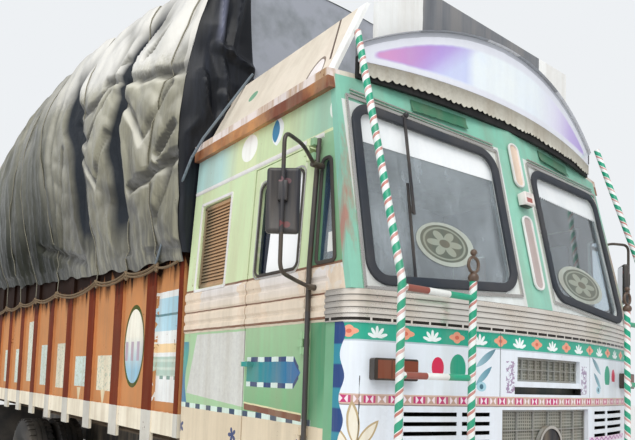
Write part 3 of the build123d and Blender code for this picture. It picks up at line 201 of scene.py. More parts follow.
def enamel(title, base, marks=(), layers=(), hand=0.0025, rough=0.42, rust=0.35, dust=0.3, bump=0.25,
           fade=0.22, rust_colour="#6e3f26", dust_colour="#8f806a", shine=0.5):
    """Hand-brushed enamel: painted layers, then sun fade, runs of dust, rust chips and brush marks."""
    finish, tree, p = new_finish(title, hand)
    for mark, text in marks:
        p[mark] = worked(tree, text, p)
    colour = linear(base)
    for where, over in layers:
        if isinstance(over, tuple):
            over = paint(tree, over[0], over[1], worked(tree, over[2], p))
        colour = paint(tree, colour, over, worked(tree, where, p))
    value = worked(tree, f"1 + {fade} * (broad - 0.5) * 2 + 0.08 * (fine - 0.5)", p)
    colour = add(tree, "HueSaturation", {"Value": value, "Color": colour}).outputs[0]
    colour = paint(tree, colour, dust_colour, worked(tree, f"{dust} * clip((runs - 0.42) * 4)", p))
    worn = "fine * 0.45 + broad * 0.3 + runs * 0.25"
    p["chips"] = worked(tree, f"clip(({worn} - {0.67 - 0.14 * rust}) * 26)", p)
    colour = paint(tree, colour, rust_colour, p["chips"])
    height = worked(tree, "fine * 0.6 + runs * 0.4 - chips * 0.5", p)
    lumps = add(tree, "Bump", {"Strength": bump, "Distance": 0.002, "Height": height}).outputs[0]
    gloss = worked(tree, f"clip({rough} + 0.35 * chips + 0.25 * (broad - 0.5))", p)
    return skinned(finish, {"Base Color": colour, "Roughness": gloss, "Normal": lumps,
                            "Specular IOR Level": shine})


def dress(finish, *nodes):
    """Give a CAD node its finish."""
    for name in nodes:
        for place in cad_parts[name].material_slots:
            place.material = finish


# Bitumen chassis black: nearly matt, greyed by dust, rusting through in spots.
chassis_black = enamel("brushed_bitumen_black", "#23211f", rough=0.55, rust=0.5, dust=0.55, fade=0.4)
dress(chassis_black, "chassis_frame", "front_axle", "rear_axle", "leaf_springs", "rear_bumper", "propshaft",
      "radiator", "battery_box", "tie_rod", "knuckle_left", "knuckle_right", "cab_steps")


# Engine and gearbox: sand-cast grey iron with a coat of grey-green paint, oily and dusty.
# The casting grain shows as a coarse bump.
dress(enamel("painted_cast_iron", "#59605c", rough=0.5, rust=0.5, dust=0.5, bump=0.8), "engine_block")


# Fuel tank: rolled and welded steel sheet held by two straps, painted with cheap aluminium
# paint that has gone dull and chalky.
dress(enamel("aluminium_paint", "#8d9092", rough=0.45, rust=0.55, dust=0.4), "fuel_tank")


# Mud flaps: sheets cut from old rubber belting, screwed to a bearer, matt with a fine grain.
def rubber(title, base, dust):
    """Moulded black rubber: matt, fine-grained, with patches of grey-brown road dust."""
    finish, tree, p = new_finish(title)
    shade = paint(tree, base, "#7d7264", worked(tree, f"{dust} * clip((broad - 0.35) * 2.5)", p))
    grain = add(tree, "Bump", {"Strength": 0.3, "Distance": 0.001, "Height": p["fine"]}).outputs[0]
    return skinned(finish, {"Base Color": shade, "Normal": grain, "Roughness": 0.72})


road_rubber = rubber("moulded_road_rubber", "#1c1b1a", 0.35)
dress(road_rubber, "mud_flaps")


# Tyres: moulded cross-ply rubber on split rims. The tread is a row of shoulder blocks each side
# of two centre ribs, and the side walls are plain and bare.
TYRE_R, TYRE_HALF, TREAD_DEEP = 0.525, 0.138, 0.014
TREAD_STEPS = 72
AXLE_Z = 0.515


def put_down():
    """Close the open mesh, if there is one, and select nothing."""
    if bpy.context.mode != "OBJECT":
        bpy.ops.object.mode_set(mode="OBJECT")
    bpy.ops.object.select_all(action="DESELECT")


def begin(kind, **size):
    """Add a primitive with nothing else selected, and open it for editing."""
    put_down()
    getattr(bpy.ops.mesh, f"primitive_{kind}_add")(**size)
    bpy.ops.object.mode_set(mode="EDIT")
    return bpy.context.object


def pick(test, kind="FACE"):
    """Select only the faces, edges or vertices whose middle passes the test."""
    bpy.ops.mesh.select_mode(type=kind)
    bpy.ops.mesh.select_all(action="DESELECT")
    open_mesh = bmesh.from_edit_mesh(bpy.context.object.data)
    things = {"FACE": open_mesh.faces, "EDGE": open_mesh.edges, "VERT": open_mesh.verts}[kind]
    for thing in things:
        corners = [thing.co] if kind == "VERT" else [v.co for v in thing.verts]
        if test(sum(corners, Vector()) / len(corners)):
            thing.select_set(True)
    open_mesh.select_flush_mode()
    bmesh.update_edit_mesh(bpy.context.object.data)


def whole():
    """Select all of the open mesh."""
    bpy.ops.mesh.select_all(action="SELECT")


def modify(piece, kind, **settings):
    """Add a modifier and apply it."""
    put_down()
    step = piece.modifiers.new(kind.title(), kind)
    for name, value in settings.items():
        setattr(step, name, value)
    bpy.context.view_layer.objects.active = piece
    bpy.ops.object.modifier_apply(modifier=step.name)


def settle(piece, title, finish, body="chassis", smooth=40, place=None):
    """Close a piece: its place goes into its mesh, and it gets its name, finish and body."""
    put_down()
    piece.select_set(True)
    bpy.context.view_layer.objects.active = piece
    bpy.ops.object.transform_apply(location=True, rotation=True, scale=True)
    if place is not None:
        piece.data.transform(place)
        if place.determinant() < 0:
            piece.data.flip_normals()
    if smooth:
        bpy.ops.object.shade_smooth_by_angle(angle=math.radians(smooth))
    piece.name = piece.data.name = title
    piece.data.materials.append(finish)
    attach(piece, body)
    return piece


def copied(piece, places):
    """Copies of one finished shape at each place, joined into one piece. The first shape goes."""
    put_down()
    twins = []
    for place in places:
        twin = piece.copy()
        twin.data = piece.data.copy()
        twin.data.transform(place)
        if place.determinant() < 0:
            twin.data.flip_normals()
        bpy.context.collection.objects.link(twin)
        twin.select_set(True)
        twins.append(twin)
    bpy.context.view_layer.objects.active = twins[0]
    if len(twins) > 1:
        bpy.ops.object.join()
    bpy.data.objects.remove(piece)
    return twins[0]


def tyre_shape():
    """One tyre round the X axis: its section is spun, then every other crown face is raised."""
    w, r = TYRE_HALF, TYRE_R - TREAD_DEEP
    side = [(0.258, 0.091), (0.276, 0.096), (0.318, w * 0.9), (0.398, w), (r - 0.05, w * 0.985),
            (r - 0.012, w * 0.88)]
    crown = [(r, w * 0.80), (r, w * 0.42), (r, w * 0.36), (r, w * 0.06)]
    half = side + crown
    section = [(-x, z) for z, x in half] + [(x, z) for z, x in reversed(half)]
    section += [(0.05, 0.264), (-0.05, 0.264)]
    piece = begin("circle", vertices=len(section), radius=0.1)
    open_mesh = bmesh.from_edit_mesh(piece.data)
    for vertex, (x, z) in zip(open_mesh.verts, section):
        vertex.co = (x, 0, z)
    bmesh.update_edit_mesh(piece.data)
    whole()
    bpy.ops.mesh.spin(steps=TREAD_STEPS, angle=math.tau, center=(0, 0, 0), axis=(1, 0, 0))
    whole()
    bpy.ops.mesh.remove_doubles(threshold=0.0005)
    bpy.ops.mesh.normals_make_consistent(inside=False)
    for start, stop, parity in ((w * 0.6, w * 0.9, 0), (w * 0.2, w * 0.24, None), (-w * 0.9, -w * 0.6, 1),
                                (-w * 0.24, -w * 0.2, None)):
        def on_crown(m):
            turn_by = (math.atan2(m.z, m.y) / math.tau * TREAD_STEPS) % 2
            rows = parity is None or (turn_by < 1) == bool(parity)
            return start < m.x < stop and m.length > r * 0.985 and rows
        pick(on_crown)
        bpy.ops.mesh.extrude_region_shrink_fatten(
            TRANSFORM_OT_shrink_fatten={"value": TREAD_DEEP - 0.001, "use_even_offset": False})
        if parity is not None:
            bpy.ops.transform.resize(value=(0.96, 1, 1))
    bpy.ops.object.mode_set(mode="OBJECT")
    return piece


WHEELS = {"wheel_front_left": ("front_tyre_left", [1.0]), "wheel_front_right": ("front_tyre_right", [-1.0]),
          "wheel_rear_left": ("rear_tyres_left", [1.046, 0.724]),
          "wheel_rear_right": ("rear_tyres_right", [-1.046, -0.724])}
AXLE_Y = {"front": -2.75, "rear": 1.88}
first_tyre = tyre_shape()
for body, (node, across) in WHEELS.items():
    station = AXLE_Y[body.split("_")[1]]
    shape = first_tyre.copy()
    shape.data = first_tyre.data.copy()
    bpy.context.collection.objects.link(shape)
    pair = copied(shape, [Matrix.Translation((x, station, AXLE_Z)) for x in across])
    settle(pair, "tread_" + body[6:], road_rubber, body, smooth=30)
    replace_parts(pair, node)
bpy.data.objects.remove(first_tyre)


# Rims: pressed steel discs welded into split rims, sprayed silver long ago, with ten nuts and a
# pressed cap over the hub. Brake dust and rust cloud the old paint.
rim_silver = enamel("sprayed_wheel_silver", "#9a948a", rough=0.4, rust=0.75, dust=0.6)
dress(rim_silver, "front_rim_left", "front_rim_right", "rear_rims_left", "rear_rims_right")
nut_steel = enamel("greasy_steel", "#5b524a", rough=0.35, rust=0.9, dust=0.4)


def outward(face_x, station, side):
    """Place on a wheel's outer face, mirrored on the right-hand side."""
    return Matrix.Translation((face_x, station, AXLE_Z)) @ Matrix.Diagonal((side, 1, 1, 1))


def wheel_nuts(title, body, face_x, station, side, count=10, ring=0.105):
    """A ring of domed nuts on their studs."""
    piece = begin("cylinder", vertices=6, radius=0.016, depth=0.022)
    pick(lambda m: m.z > 0.01)
    bpy.ops.mesh.inset(thickness=0.006)
    bpy.ops.mesh.extrude_region_move(TRANSFORM_OT_translate={"value": (0, 0, 0.012)})
    places = []
    for k in range(count):
        spot = Matrix.Rotation(k * math.tau / count, 4, "X") @ Matrix.Translation((0, 0, ring))
        places.append(outward(face_x, station, side) @ spot @ Matrix.Rotation(math.radians(90), 4, "Y"))
    return settle(copied(piece, places), title, nut_steel, body, smooth=0)


def hub_cap(title, body, face_x, station, side, reach, radius):
    """A pressed cap over the hub: a drum with a stepped, rounded end."""
    piece = begin("cylinder", vertices=32, radius=radius, depth=reach)
    for inset, rise in ((0.012, 0.006), (0.02, 0.004), (0.012, -0.003)):
        pick(lambda m: m.z > reach / 2 - 0.001 and m.xy.length < 0.001)
        bpy.ops.mesh.inset(thickness=inset)
        bpy.ops.transform.translate(value=(0, 0, rise))
    place = outward(face_x, station, side) @ Matrix.Rotation(math.radians(90), 4, "Y")
    return settle(piece, title, rim_silver, body, smooth=35, place=place)


SIDES = (("left", 1), ("right", -1))
for word, side in SIDES:
    wheel_nuts("nuts_front_" + word, "wheel_front_" + word, side * 1.068, AXLE_Y["front"], side)
    hub_cap("cap_front_" + word, "wheel_front_" + word, side * 1.10, AXLE_Y["front"], side, 0.04, 0.066)
    wheel_nuts("nuts_rear_" + word, "wheel_rear_" + word, side * 1.0, AXLE_Y["rear"], side, ring=0.1)
    hub_cap("cap_rear_" + word, "wheel_rear_" + word, side * 1.085, AXLE_Y["rear"], side, 0.03, 0.07)


# Cab nose: sheet steel beaten over a wooden former, painted in white enamel by hand, with a teal
# flower border under the belt, a magenta strip, leaf scrolls and small arches.
def lens(across, up, centre, half, tall, lean=0.0):
    """A leaf: where two discs meet. half is its half width, tall its half height."""
    big = (tall ** 2 + half ** 2) / (2 * half)
    c, s = math.cos(lean), math.sin(lean)
    u = f"(({across} - {centre[0]}) * {c:.4f} + ({up} - {centre[1]}) * {s:.4f})"
    v = f"(({up} - {centre[1]}) * {c:.4f} - ({across} - {centre[0]}) * {s:.4f})"
    return f"(abs({u}) + {big - half:.5f} < root(high(0.0, {big ** 2:.6f} - {v} * {v})))"


def disc(across, up, centre, wide, tall):
    """An oval with the given half width and half height."""
    return (f"(power(({across} - {centre[0]}) / {wide}, 2.0)"
            f" + power(({up} - {centre[1]}) / {tall}, 2.0) < 1)")


NOSE_CENTRE, NOSE_RADIUS = -0.0547, 3.9803
NOSE_SQUARE = round(NOSE_RADIUS ** 2, 4)
NOSE_MARKS = [
    ("w", "a + 0.5 * high(0.0, y + 3.887)"),
    ("lotus", "(fract(w / 0.27 + 0.5) - 0.5) * 0.27"),
    ("rose", "(fract(w / 0.27) - 0.5) * 0.27"),
    ("tile", "fract(w / 0.12)"),
    ("half", "(fract(w / 0.06) - 0.5) * 0.06"),
    ("h", "z - 1.806"),
    ("front", "y < -3.80"),
    ("ray", "angle(lotus, h + 0.024)"),
    ("far", "root(lotus * lotus + (h + 0.024) * (h + 0.024))"),
    ("depth", f"y + {-NOSE_CENTRE} + root({NOSE_SQUARE} - x * x)"),
]
NOSE_LAYERS = [
    ("z < 1.30", ("#f3d9e4", "#eaf1fa", "clip((z - 1.10) * 6)")),
    ("1.772 < z and z < 1.842", ("#07a184", "#12b195", "clip(broad * 2 - 0.5)")),
    ("far < 0.020 + 0.030 * abs(cos(ray * 5.0)) and abs(ray) < 1.75 and h < 0.03 and h > -0.026", "#f4fbfa"),
    (disc("rose", "h", (0, 0), 0.044, 0.015) + " or " + disc("rose", "h", (0, 0), 0.024, 0.026), "#f0a183"),
    (disc("rose", "h", (0, 0), 0.012, 0.009), "#d9694f"),
    ("1.765 < z < 1.772", "#b9c7cf"),
    ("1.503 < z < 1.546", "#d8b9a8"),
    ("1.509 < z < 1.540 and tile < 0.5", "#c42a70"),
    ("1.509 < z < 1.540 and tile > 0.5", "#c39f8e"),
    ("abs(z - 1.5245) * 0.8 < abs(half) - 0.003 and abs(half) < 0.019 and abs(z - 1.5245) < 0.014",
     "#f6e6ec"),
    ("1.498 < z < 1.503", "#8b7d7a"),
    ("abs(a - 0.405) < 0.0022 and z > 1.546", "#5d666c"),
    ("0.300 < a < 0.365 and 1.563 < z < 1.715 and fine > 0.50 and front", ("#b78aa6", "#8f8fb0", "broad")),
    ("0.745 < a < 0.811 and 1.642 < z and " + disc("a", "z", (0.778, 1.668), 0.033, 0.046), "#d81f4f"),
    ("0.622 < a < 0.712 and 1.622 < z and " + disc("a", "z", (0.667, 1.668), 0.045, 0.064), "#12a07f"),
    (lens("a", "z", (0.500, 1.722), 0.017, 0.078, 0.95), ("#3f7386", "#9fc6d3", "clip((a - 0.43) * 8)")),
    (lens("a", "z", (0.512, 1.640), 0.016, 0.068, 0.85), ("#2f6f86", "#8bbccb", "clip((a - 0.43) * 8)")),
    (disc("a", "z", (0.525, 1.590), 0.030, 0.022), "#a7d3e2"),
    (disc("a", "z", (0.525, 1.590), 0.012, 0.012), "#35697d"),
    (lens("w", "z", (1.185, 1.425), 0.030, 0.095, -0.10), "#bda67c"),
    (lens("w", "z", (1.185, 1.421), 0.021, 0.080, -0.10), ("#efe3c6", "#f3efe4", "fine")),
    (lens("w", "z", (1.255, 1.375), 0.026, 0.085, -0.75), "#bda67c"),
    (lens("w", "z", (1.253, 1.373), 0.018, 0.072, -0.75), ("#efe3c6", "#f3efe4", "fine")),
    (lens("w", "z", (1.120, 1.375), 0.026, 0.085, 0.75), "#bda67c"),
    (lens("w", "z", (1.122, 1.373), 0.018, 0.072, 0.75), ("#efe3c6", "#f3efe4", "fine")),
    (disc("w", "z", (1.185, 1.300), 0.030, 0.030), "#d58aa0"),
    ("1.300 < z < 1.332 and 0.40 < a < 1.0", "#e9d3e6"),
    ("abs(z - 1.316 - 0.008 * sin(w * 90.0)) < 0.005 and 0.40 < a < 1.0", "#b265ad"),
    ("y > -3.775 and z < 1.846", ("#5d9d76", "#7db58c", "broad")),
    ("y < -3.75 and y > -3.80 + 0.012 * sin(z * 34.0) and z < 1.846",
     ("#17407c", "#2b8ba0", "clip(sin(z * 34.0) * 4)")),
    # The insides of the slots and recesses are painted near black: painted shade.
    ("depth > 0.004 and y < -3.80 and a < 1.15 and z < 1.62 and (a > 0.41 or z > 1.54)", "#0d0e12"),
]
nose_paint = enamel("white_nose_enamel", "#e9f0f8", NOSE_MARKS, NOSE_LAYERS, hand=0.0015, rough=0.3,
                    rust=0.12, dust=0.16, fade=0.08, dust_colour="#a59a8c")
dress(nose_paint, "cab_nose")


# Grilles: expanded steel mesh behind a pressed lattice, grey with dust. The round boss in the
# middle carries a bare black disc in a bright ring.
grille_grey = enamel("dusty_grille_steel", "#8e908c", rough=0.5, rust=0.45, dust=0.55,
                     layers=[("y < -4.022 and " + disc("x", "z", (0, 1.30), 0.094, 0.094), "#1b1e25")])
dress(grille_grey, "grille_mesh")


def reshape(piece, rule):
    """Move each corner of the open mesh to where the rule puts it."""
    open_mesh = bmesh.from_edit_mesh(piece.data)
    for vertex in open_mesh.verts:
        vertex.co = rule(*vertex.co)
    bmesh.update_edit_mesh(piece.data)


def thicken(step):
    """Give the open flat mesh a thickness by the step, with its faces turned out."""
    whole()
    bpy.ops.mesh.extrude_region_move(TRANSFORM_OT_translate={"value": step})
    whole()
    bpy.ops.mesh.normals_make_consistent(inside=False)


WOVEN = "clip(1.2 - high(0.0, low(abs(fract(x / 0.016) - 0.5), abs(fract(z / 0.016) - 0.5)) * 2 - 0.25) * 6)"
woven_wire = enamel("woven_wire_gauze", "#575a52", rough=0.55, rust=0.2, dust=0.4, fade=0.3,
                    layers=[(WOVEN, ("#8f9188", "#a3a298", "broad"))])
GAUZE_IN = 0.032
for word, half, low, high in (("upper", 0.292, 1.612, 1.746), ("lower", 0.398, 1.090, 1.494)):
    gauze = begin("grid", x_subdivisions=24, y_subdivisions=4, size=2)
    reshape(gauze, lambda x, y, z: (
        x * half, NOSE_CENTRE - math.sqrt(NOSE_SQUARE - (x * half) * (x * half)) + GAUZE_IN,
        (low + high) / 2 + y * (high - low) / 2))
    thicken((0, 0.002, 0))
    settle(gauze, "grille_gauze_" + word, woven_wire, smooth=0)


def worn_metal(title, base, rough, tarnish="#7d6a52", amount=0.3, groove_shade=None, bright=0.0):
    """Polished sheet metal: bright, with cloudy brown tarnish, and painted shade where a mask is given."""
    finish, tree, p = new_finish(title)
    shade = paint(tree, base, tarnish, worked(tree, f"{amount} * clip((broad - 0.42) * 4)", p))
    if groove_shade:
        shade = paint(tree, shade, "#2f2a24", worked(tree, groove_shade, p))
    gloss = worked(tree, f"clip({rough} + 0.5 * {amount} * clip((broad - 0.4) * 3) + 0.12 * (fine - 0.5))", p)
    marks = add(tree, "Bump", {"Strength": 0.12, "Distance": 0.001, "Height": p["fine"]}).outputs[0]
    return skinned(finish, {"Base Color": shade, "Roughness": gloss, "Normal": marks,
                            "Metallic": 1.0 - bright})


# Nickel-plated trim: the plating is thin, so brown shows through where hands and water wear it.
plated_trim = worn_metal("nickel_plated_trim", "#d9d6d0", 0.2)


def plate(corners):
    """A flat face with its four corners in turn, open for editing."""
    piece = begin("plane", size=1)
    open_mesh = bmesh.from_edit_mesh(piece.data)
    open_mesh.verts.ensure_lookup_table()
    for index, (x, y) in zip((0, 1, 3, 2), corners):
        open_mesh.verts[index].co = (x, y, 0)
    bmesh.update_edit_mesh(piece.data)
    return piece


def ring(corners, radius, width, height, soft=0.0):
    """A raised ring drawn flat: a plate with rounded corners, inset by its width and opened."""
    piece = plate(corners)
    whole()
    if radius:
        bpy.ops.mesh.bevel(offset=radius, segments=8, affect="VERTICES")
        whole()
    bpy.ops.mesh.normals_make_consistent(inside=False)
    if width:
        bpy.ops.mesh.inset(thickness=width, use_even_offset=True)
        bpy.ops.mesh.delete(type="FACE")
    thicken((0, 0, height))
    if soft:
        modify(piece, "BEVEL", width=soft, segments=2, limit_method="ANGLE")
    return piece


def facing(origin, out):
    """Place for a flat shape: its +Z goes out, its +Y up."""
    out = Vector(out).normalized()
    across = Vector((0, 0, 1)).cross(out).normalized()
    return Matrix.Translation(origin) @ Matrix((across, out.cross(across), out)).transposed().to_4x4()


def nose_place(x, z, out=0.0):
    """Place on the bowed front of the nose, standing off by out."""
    tilt = math.asin(x / NOSE_RADIUS)
    normal = Vector((math.sin(tilt), -math.cos(tilt), 0))
    return facing(Vector((x, NOSE_CENTRE - math.sqrt(NOSE_RADIUS ** 2 - x ** 2), z)) + normal * out, normal)


boss = begin("cylinder", vertices=40, radius=0.104, depth=0.012)
pick(lambda m: m.z > 0.005 and m.xy.length < 1e-3)
bpy.ops.mesh.inset(thickness=0.014)
bpy.ops.mesh.delete(type="FACE")
pick(lambda m: m.z < -0.005 and m.xy.length < 1e-3)
bpy.ops.mesh.delete(type="FACE")
modify(boss, "SOLIDIFY", thickness=0.003, offset=-1)
settle(boss, "nose_boss_ring", plated_trim, place=nose_place(0, 1.30, -0.008))


# Head lamps: a plain domed glass in a plated bezel, over the pale front of the lamp's body. The
# glass is clear, with a little dust.
def glass(title, tint, rough=0.02, film="0.0", layers=()):
    """Plain soda-lime glass: clear, hard and shiny, with a thin pale film of dust and wiped smears."""
    finish, tree, p = new_finish(title)
    smear = worked(tree, f"clip({rough} + 0.05 * clip((broad - 0.5) * 4))", p)
    clear = worked(tree, f"1.0 - clip({film})", p)
    shade = linear(tint)
    for where, over in layers:
        shade = paint(tree, shade, over, worked(tree, where, p))
    return skinned(finish, {"Base Color": shade, "Roughness": smear, "IOR": 1.5,
                            "Transmission Weight": clear})


lamp_glass = glass("pressed_lamp_glass", "#f3f6f4", 0.08)
for word, side in SIDES:
    bezel = begin("torus", major_radius=0.087, minor_radius=0.009, major_segments=48, minor_segments=10)
    settle(bezel, "head_bezel_" + word, plated_trim, place=nose_place(side * 0.8, 1.062, 0.026))
    cover = begin("uv_sphere", segments=32, ring_count=16, radius=0.078)
    pick(lambda m: m.z < 0.0, "VERT")
    bpy.ops.mesh.delete(type="VERT")
    whole()
    bpy.ops.transform.resize(value=(1, 1, 0.22))
    pick(lambda m: m.z < 0.002, "EDGE")
    bpy.ops.mesh.edge_face_add()
    settle(cover, "head_glass_" + word, lamp_glass, place=nose_place(side * 0.8, 1.062, 0.0402))

# Corner lamps: a stamped box in red-brown oxide paint with a dark rubber surround.
dress(enamel("lamp_body_enamel", "#7c3a22", rough=0.35, rust=0.3, dust=0.25,
             marks=[("u", "a - 1.012"), ("v", "z - 1.650")],
             layers=[("z < 1.40", "#c8ccd0"), ("z > 1.5 and (abs(u) > 0.095 or abs(v) > 0.038)", "#2a211c"),
                     ("z > 1.5 and abs(u - 0.03) < 0.003", "#5a2a19")]), "front_lamps")


# Belt band: ribbed strip of plated steel wrapped round the nose, with a row of dark slots below its
# ribs. The furrows between the ribs and the slots are painted dark as shade, and the band is painted
# darker where it wraps back onto the sides. Its plating is warm and streaked.
band_metal = worn_metal("ribbed_plated_band", "#f1ebe2", 0.20, tarnish="#b08f5c", amount=0.35, groove_shade=(
    "clip(1.05 - abs(fract((z - 1.880) / 0.02625 + 0.5) - 0.5) * 8) * 0.8 * (z > 1.873)"
    " or (abs(z - 1.858) < 0.0065 and fract((x + y * 0.6) / 0.080) < 0.90)"
    " or clip((y + 3.90) * 5) * 0.45"), bright=0.45)
dress(band_metal, "belt_band")


# Screen frame: welded steel pressing in mint enamel. Each pane sits in a thick rubber gasket,
# with an aluminium strip outside it and white corners between the two.
SWEEP, RAKE = math.radians(6.3), math.radians(12.4)
PANE = [(0.198, 0.103), (1.087, 0.038), (1.081, 0.877), (0.212, 0.825)]
SCREEN_LAYERS = [
    ("v < 0.93 and u > 0.115", "#dfe3e0"),
    ("v < -0.0", "#cfc7bd"),
    ("u < 0.115", ("#86c3ae", "#9ad0bb", "broad")),
    ("v > 0.905", ("#79bda6", "#8ecbb4", "broad")),
    ("u > 1.135", ("#8cc7b1", "#b9867a", "clip((runs - 0.5) * 6)")),
]
screen_paint = enamel("mint_screen_enamel", "#84c4ae", [("u", "a * 1.006"), ("v", "(z - 2.0) * 1.024")],
                      SCREEN_LAYERS, rough=0.38, rust=0.3, dust=0.25)
dress(screen_paint, "screen_frame")
gasket_rubber = rubber("window_gasket_rubber", "#232c38", 0.25)
white_corner = enamel("white_corner_enamel", "#e9e6e4", rough=0.35, rust=0.2, dust=0.2)


def pane_place(side, out):
    """Place on one windscreen pane: X along its sill, Y up its rake, Z out by out."""
    along = Vector((side * math.cos(SWEEP), math.sin(SWEEP), 0))
    normal = Vector((side * math.sin(SWEEP) * math.cos(RAKE), -math.cos(SWEEP) * math.cos(RAKE),
                     math.sin(RAKE)))
    rise = (normal.cross(along) * side).normalized()
    rise = rise if rise.z > 0 else -rise
    spot = Vector((0, -3.98, 2.0)) + normal * out
    return Matrix.Translation(spot) @ Matrix((along, rise, normal)).transposed().to_4x4()


def grown(corners, by):
    """The four corners moved out from their middle."""
    (x0, y0), (x1, y1), (x2, y2), (x3, y3) = corners
    return [(x0 - by, y0 - by), (x1 + by, y1 - by), (x2 + by, y2 + by), (x3 - by, y3 + by)]


for word, side in SIDES:
    settle(ring(grown(PANE, 0.034), 0.118, 0.046, 0.020, 0.007), "screen_gasket_" + word, gasket_rubber,
           place=pane_place(side, -0.003))
    settle(ring(grown(PANE, 0.058), 0.012, 0.016, 0.009, 0.003), "screen_strip_" + word, plated_trim,
           place=pane_place(side, -0.001))


# Sun strips: opaque white film stuck inside the top of each pane. The passenger's has a cut
# edge of small scallops. A round flower sticker sits low on each pane, in a pale ring.
white_film = enamel("white_window_film", "#f3f6f7", rough=0.3, rust=0.0, dust=0.25, bump=0.05, fade=0.04,
                    dust_colour="#cfd8de")
sticker_print = enamel(
    "printed_flower_sticker", "#b3bab0", rough=0.35, rust=0.0, dust=0.35, bump=0.05, hand=0.001,
    marks=[("u", "(a - 0.612) / (0.185 + 0.120 * (x > 0.0))"),
           ("v", "(z - 2.264 + 0.054 * (x > 0.0)) / 0.112"),
           ("ray", "angle(v, u)"), ("far", "root(u * u + v * v)")],
    layers=[("far < 0.82", "#62695e"), ("0.66 < far < 0.73", "#969d90"),
            ("far < 0.24 + 0.36 * abs(cos(ray * 3.0))", "#9ba294"),
            ("far < 0.18", "#6b6a5d")])


def film(title, corners, scallops, side):
    """A strip of film: a plate cut along its lower edge, with each second point drawn up."""
    piece = plate(corners)
    if scallops:
        pick(lambda m: m.y < (corners[0][1] + corners[3][1]) / 2 and 0.3 < m.x < 1.0, "EDGE")
        bpy.ops.mesh.subdivide(number_cuts=scallops * 2 - 1)
        open_mesh = bmesh.from_edit_mesh(piece.data)
        low = sorted((v for v in open_mesh.verts if v.co.y < corners[0][1] + 0.05), key=lambda v: v.co.x)
        for vertex in low[1:-1:2]:
            vertex.co.y += 0.013
        bmesh.update_edit_mesh(piece.data)
    thicken((0, 0, 0.001))
    return settle(piece, title, white_film, smooth=0, place=pane_place(side, -0.0135))


film("sun_strip_driver", [(0.203, 0.695), (1.083, 0.715), (1.081, 0.873), (0.208, 0.822)], 0, -1)
film("sun_strip_passenger", [(0.203, 0.700), (1.083, 0.722), (1.081, 0.873), (0.208, 0.822)], 32, 1)
for word, side, along, up_rake, wide in (("passenger", 1, 0.615, 0.215, 0.305),
                                         ("driver", -1, 0.616, 0.270, 0.185)):
    disc_shape = begin("cylinder", vertices=48, radius=wide, depth=0.001)
    pick(lambda m: m.z > 0 and m.xy.length < 1e-3)
    bpy.ops.mesh.inset(thickness=0.01)
    whole()
    bpy.ops.transform.resize(value=(1, 0.112 / wide, 1))
    settle(disc_shape, "sticker_" + word, sticker_print, smooth=0,
           place=pane_place(side, -0.013) @ Matrix.Translation((along, up_rake, 0)))


# Header: two hinged flaps over the vents, cut from green sheet with a worn, ragged lower edge,
# and a double moulding under them. The centre pillar has two long rings and a small marker box.
FLAP_TALL, FLAP_MIDDLE = 0.072, 0.985
flap_green = enamel("dark_flap_enamel", "#3c7a5c", rough=0.4, rust=0.3, dust=0.3)
peach_panel = enamel("peach_pillar_enamel", "#ead2bd", rough=0.35, rust=0.3, dust=0.3,
                     layers=[("z < 2.6", "#b9a9a6")])
noise.seed_set(3)


def ragged(x, y, z):
    """A flap leans out below its hinge, and its lowest edge is torn unevenly."""
    low = max(0.0, FLAP_MIDDLE - y) / (FLAP_TALL / 2)
    return x, y + 0.007 * noise.random() if low > 0.98 else y, 0.004 + 0.010 * low


for word, side in SIDES:
    flap = begin("plane", size=1)
    whole()
    bpy.ops.transform.resize(value=(0.375, FLAP_TALL, 1))
    bpy.ops.transform.translate(value=(0.548, FLAP_MIDDLE, 0))
    bpy.ops.mesh.subdivide(number_cuts=17)
    reshape(flap, ragged)
    thicken((0, 0, 0.002))
    settle(flap, "header_flap_" + word, flap_green, place=pane_place(side, 0.0))
    for k, rise in enumerate((0.012, 0.030)):
        low_end, high_end = PANE[3][1] + 0.052 + rise, PANE[2][1] + 0.052 + rise
        bead = [(0.18, low_end), (1.11, high_end), (1.11, high_end + 0.007), (0.18, low_end + 0.007)]
        settle(ring(bead, 0, 0, 0.010, 0.0025), f"header_moulding_{word}_{k}", plated_trim,
               place=pane_place(side, -0.001))


def upright(half, low, high):
    """The corners of an upright rectangle on its middle line."""
    return [(-half, low), (half, low), (half, high), (-half, high)]


pillar_face = facing((0, -3.9815, 2.0), (0, -math.cos(RAKE), math.sin(RAKE)))
for word, low, high in (("upper", 0.690, 0.955), ("lower", 0.100, 0.520)):
    settle(ring(upright(0.045, low, high), 0.040, 0.011, 0.012, 0.003), "pillar_ring_" + word,
           white_corner, place=pillar_face)
    settle(ring(upright(0.035, low + 0.010, high - 0.010), 0.032, 0, 0.005), "pillar_panel_" + word,
           peach_panel, place=pillar_face)


def block(size, radius=0.0, segments=2):
    """A box, with rounded edges if it has a radius, open for editing."""
    piece = begin("cube", size=1)
    bpy.ops.transform.resize(value=size)
    if radius:
        whole()
        bpy.ops.mesh.bevel(offset=radius, segments=segments, affect="EDGES")
    return piece


marker_box = block((0.085, 0.075, 0.05), 0.008)
pick(lambda m: m.z > 0.0249)
bpy.ops.mesh.inset(thickness=0.008)
bpy.ops.transform.translate(value=(0, 0, -0.006))
# The box's lowest strip is painted near black, as a painted shadow under the box.
marker_paint = enamel("marker_box_enamel", "#efe7e2", rough=0.3, rust=0.25, dust=0.3,
                      layers=[("abs(x) < 0.026 and 2.578 < z < 2.606", "#a8504a"), ("z < 2.562", "#141414")])
settle(marker_box, "pillar_marker", marker_paint,
       place=pillar_face @ Matrix.Translation((0, 0.605, 0.025)))
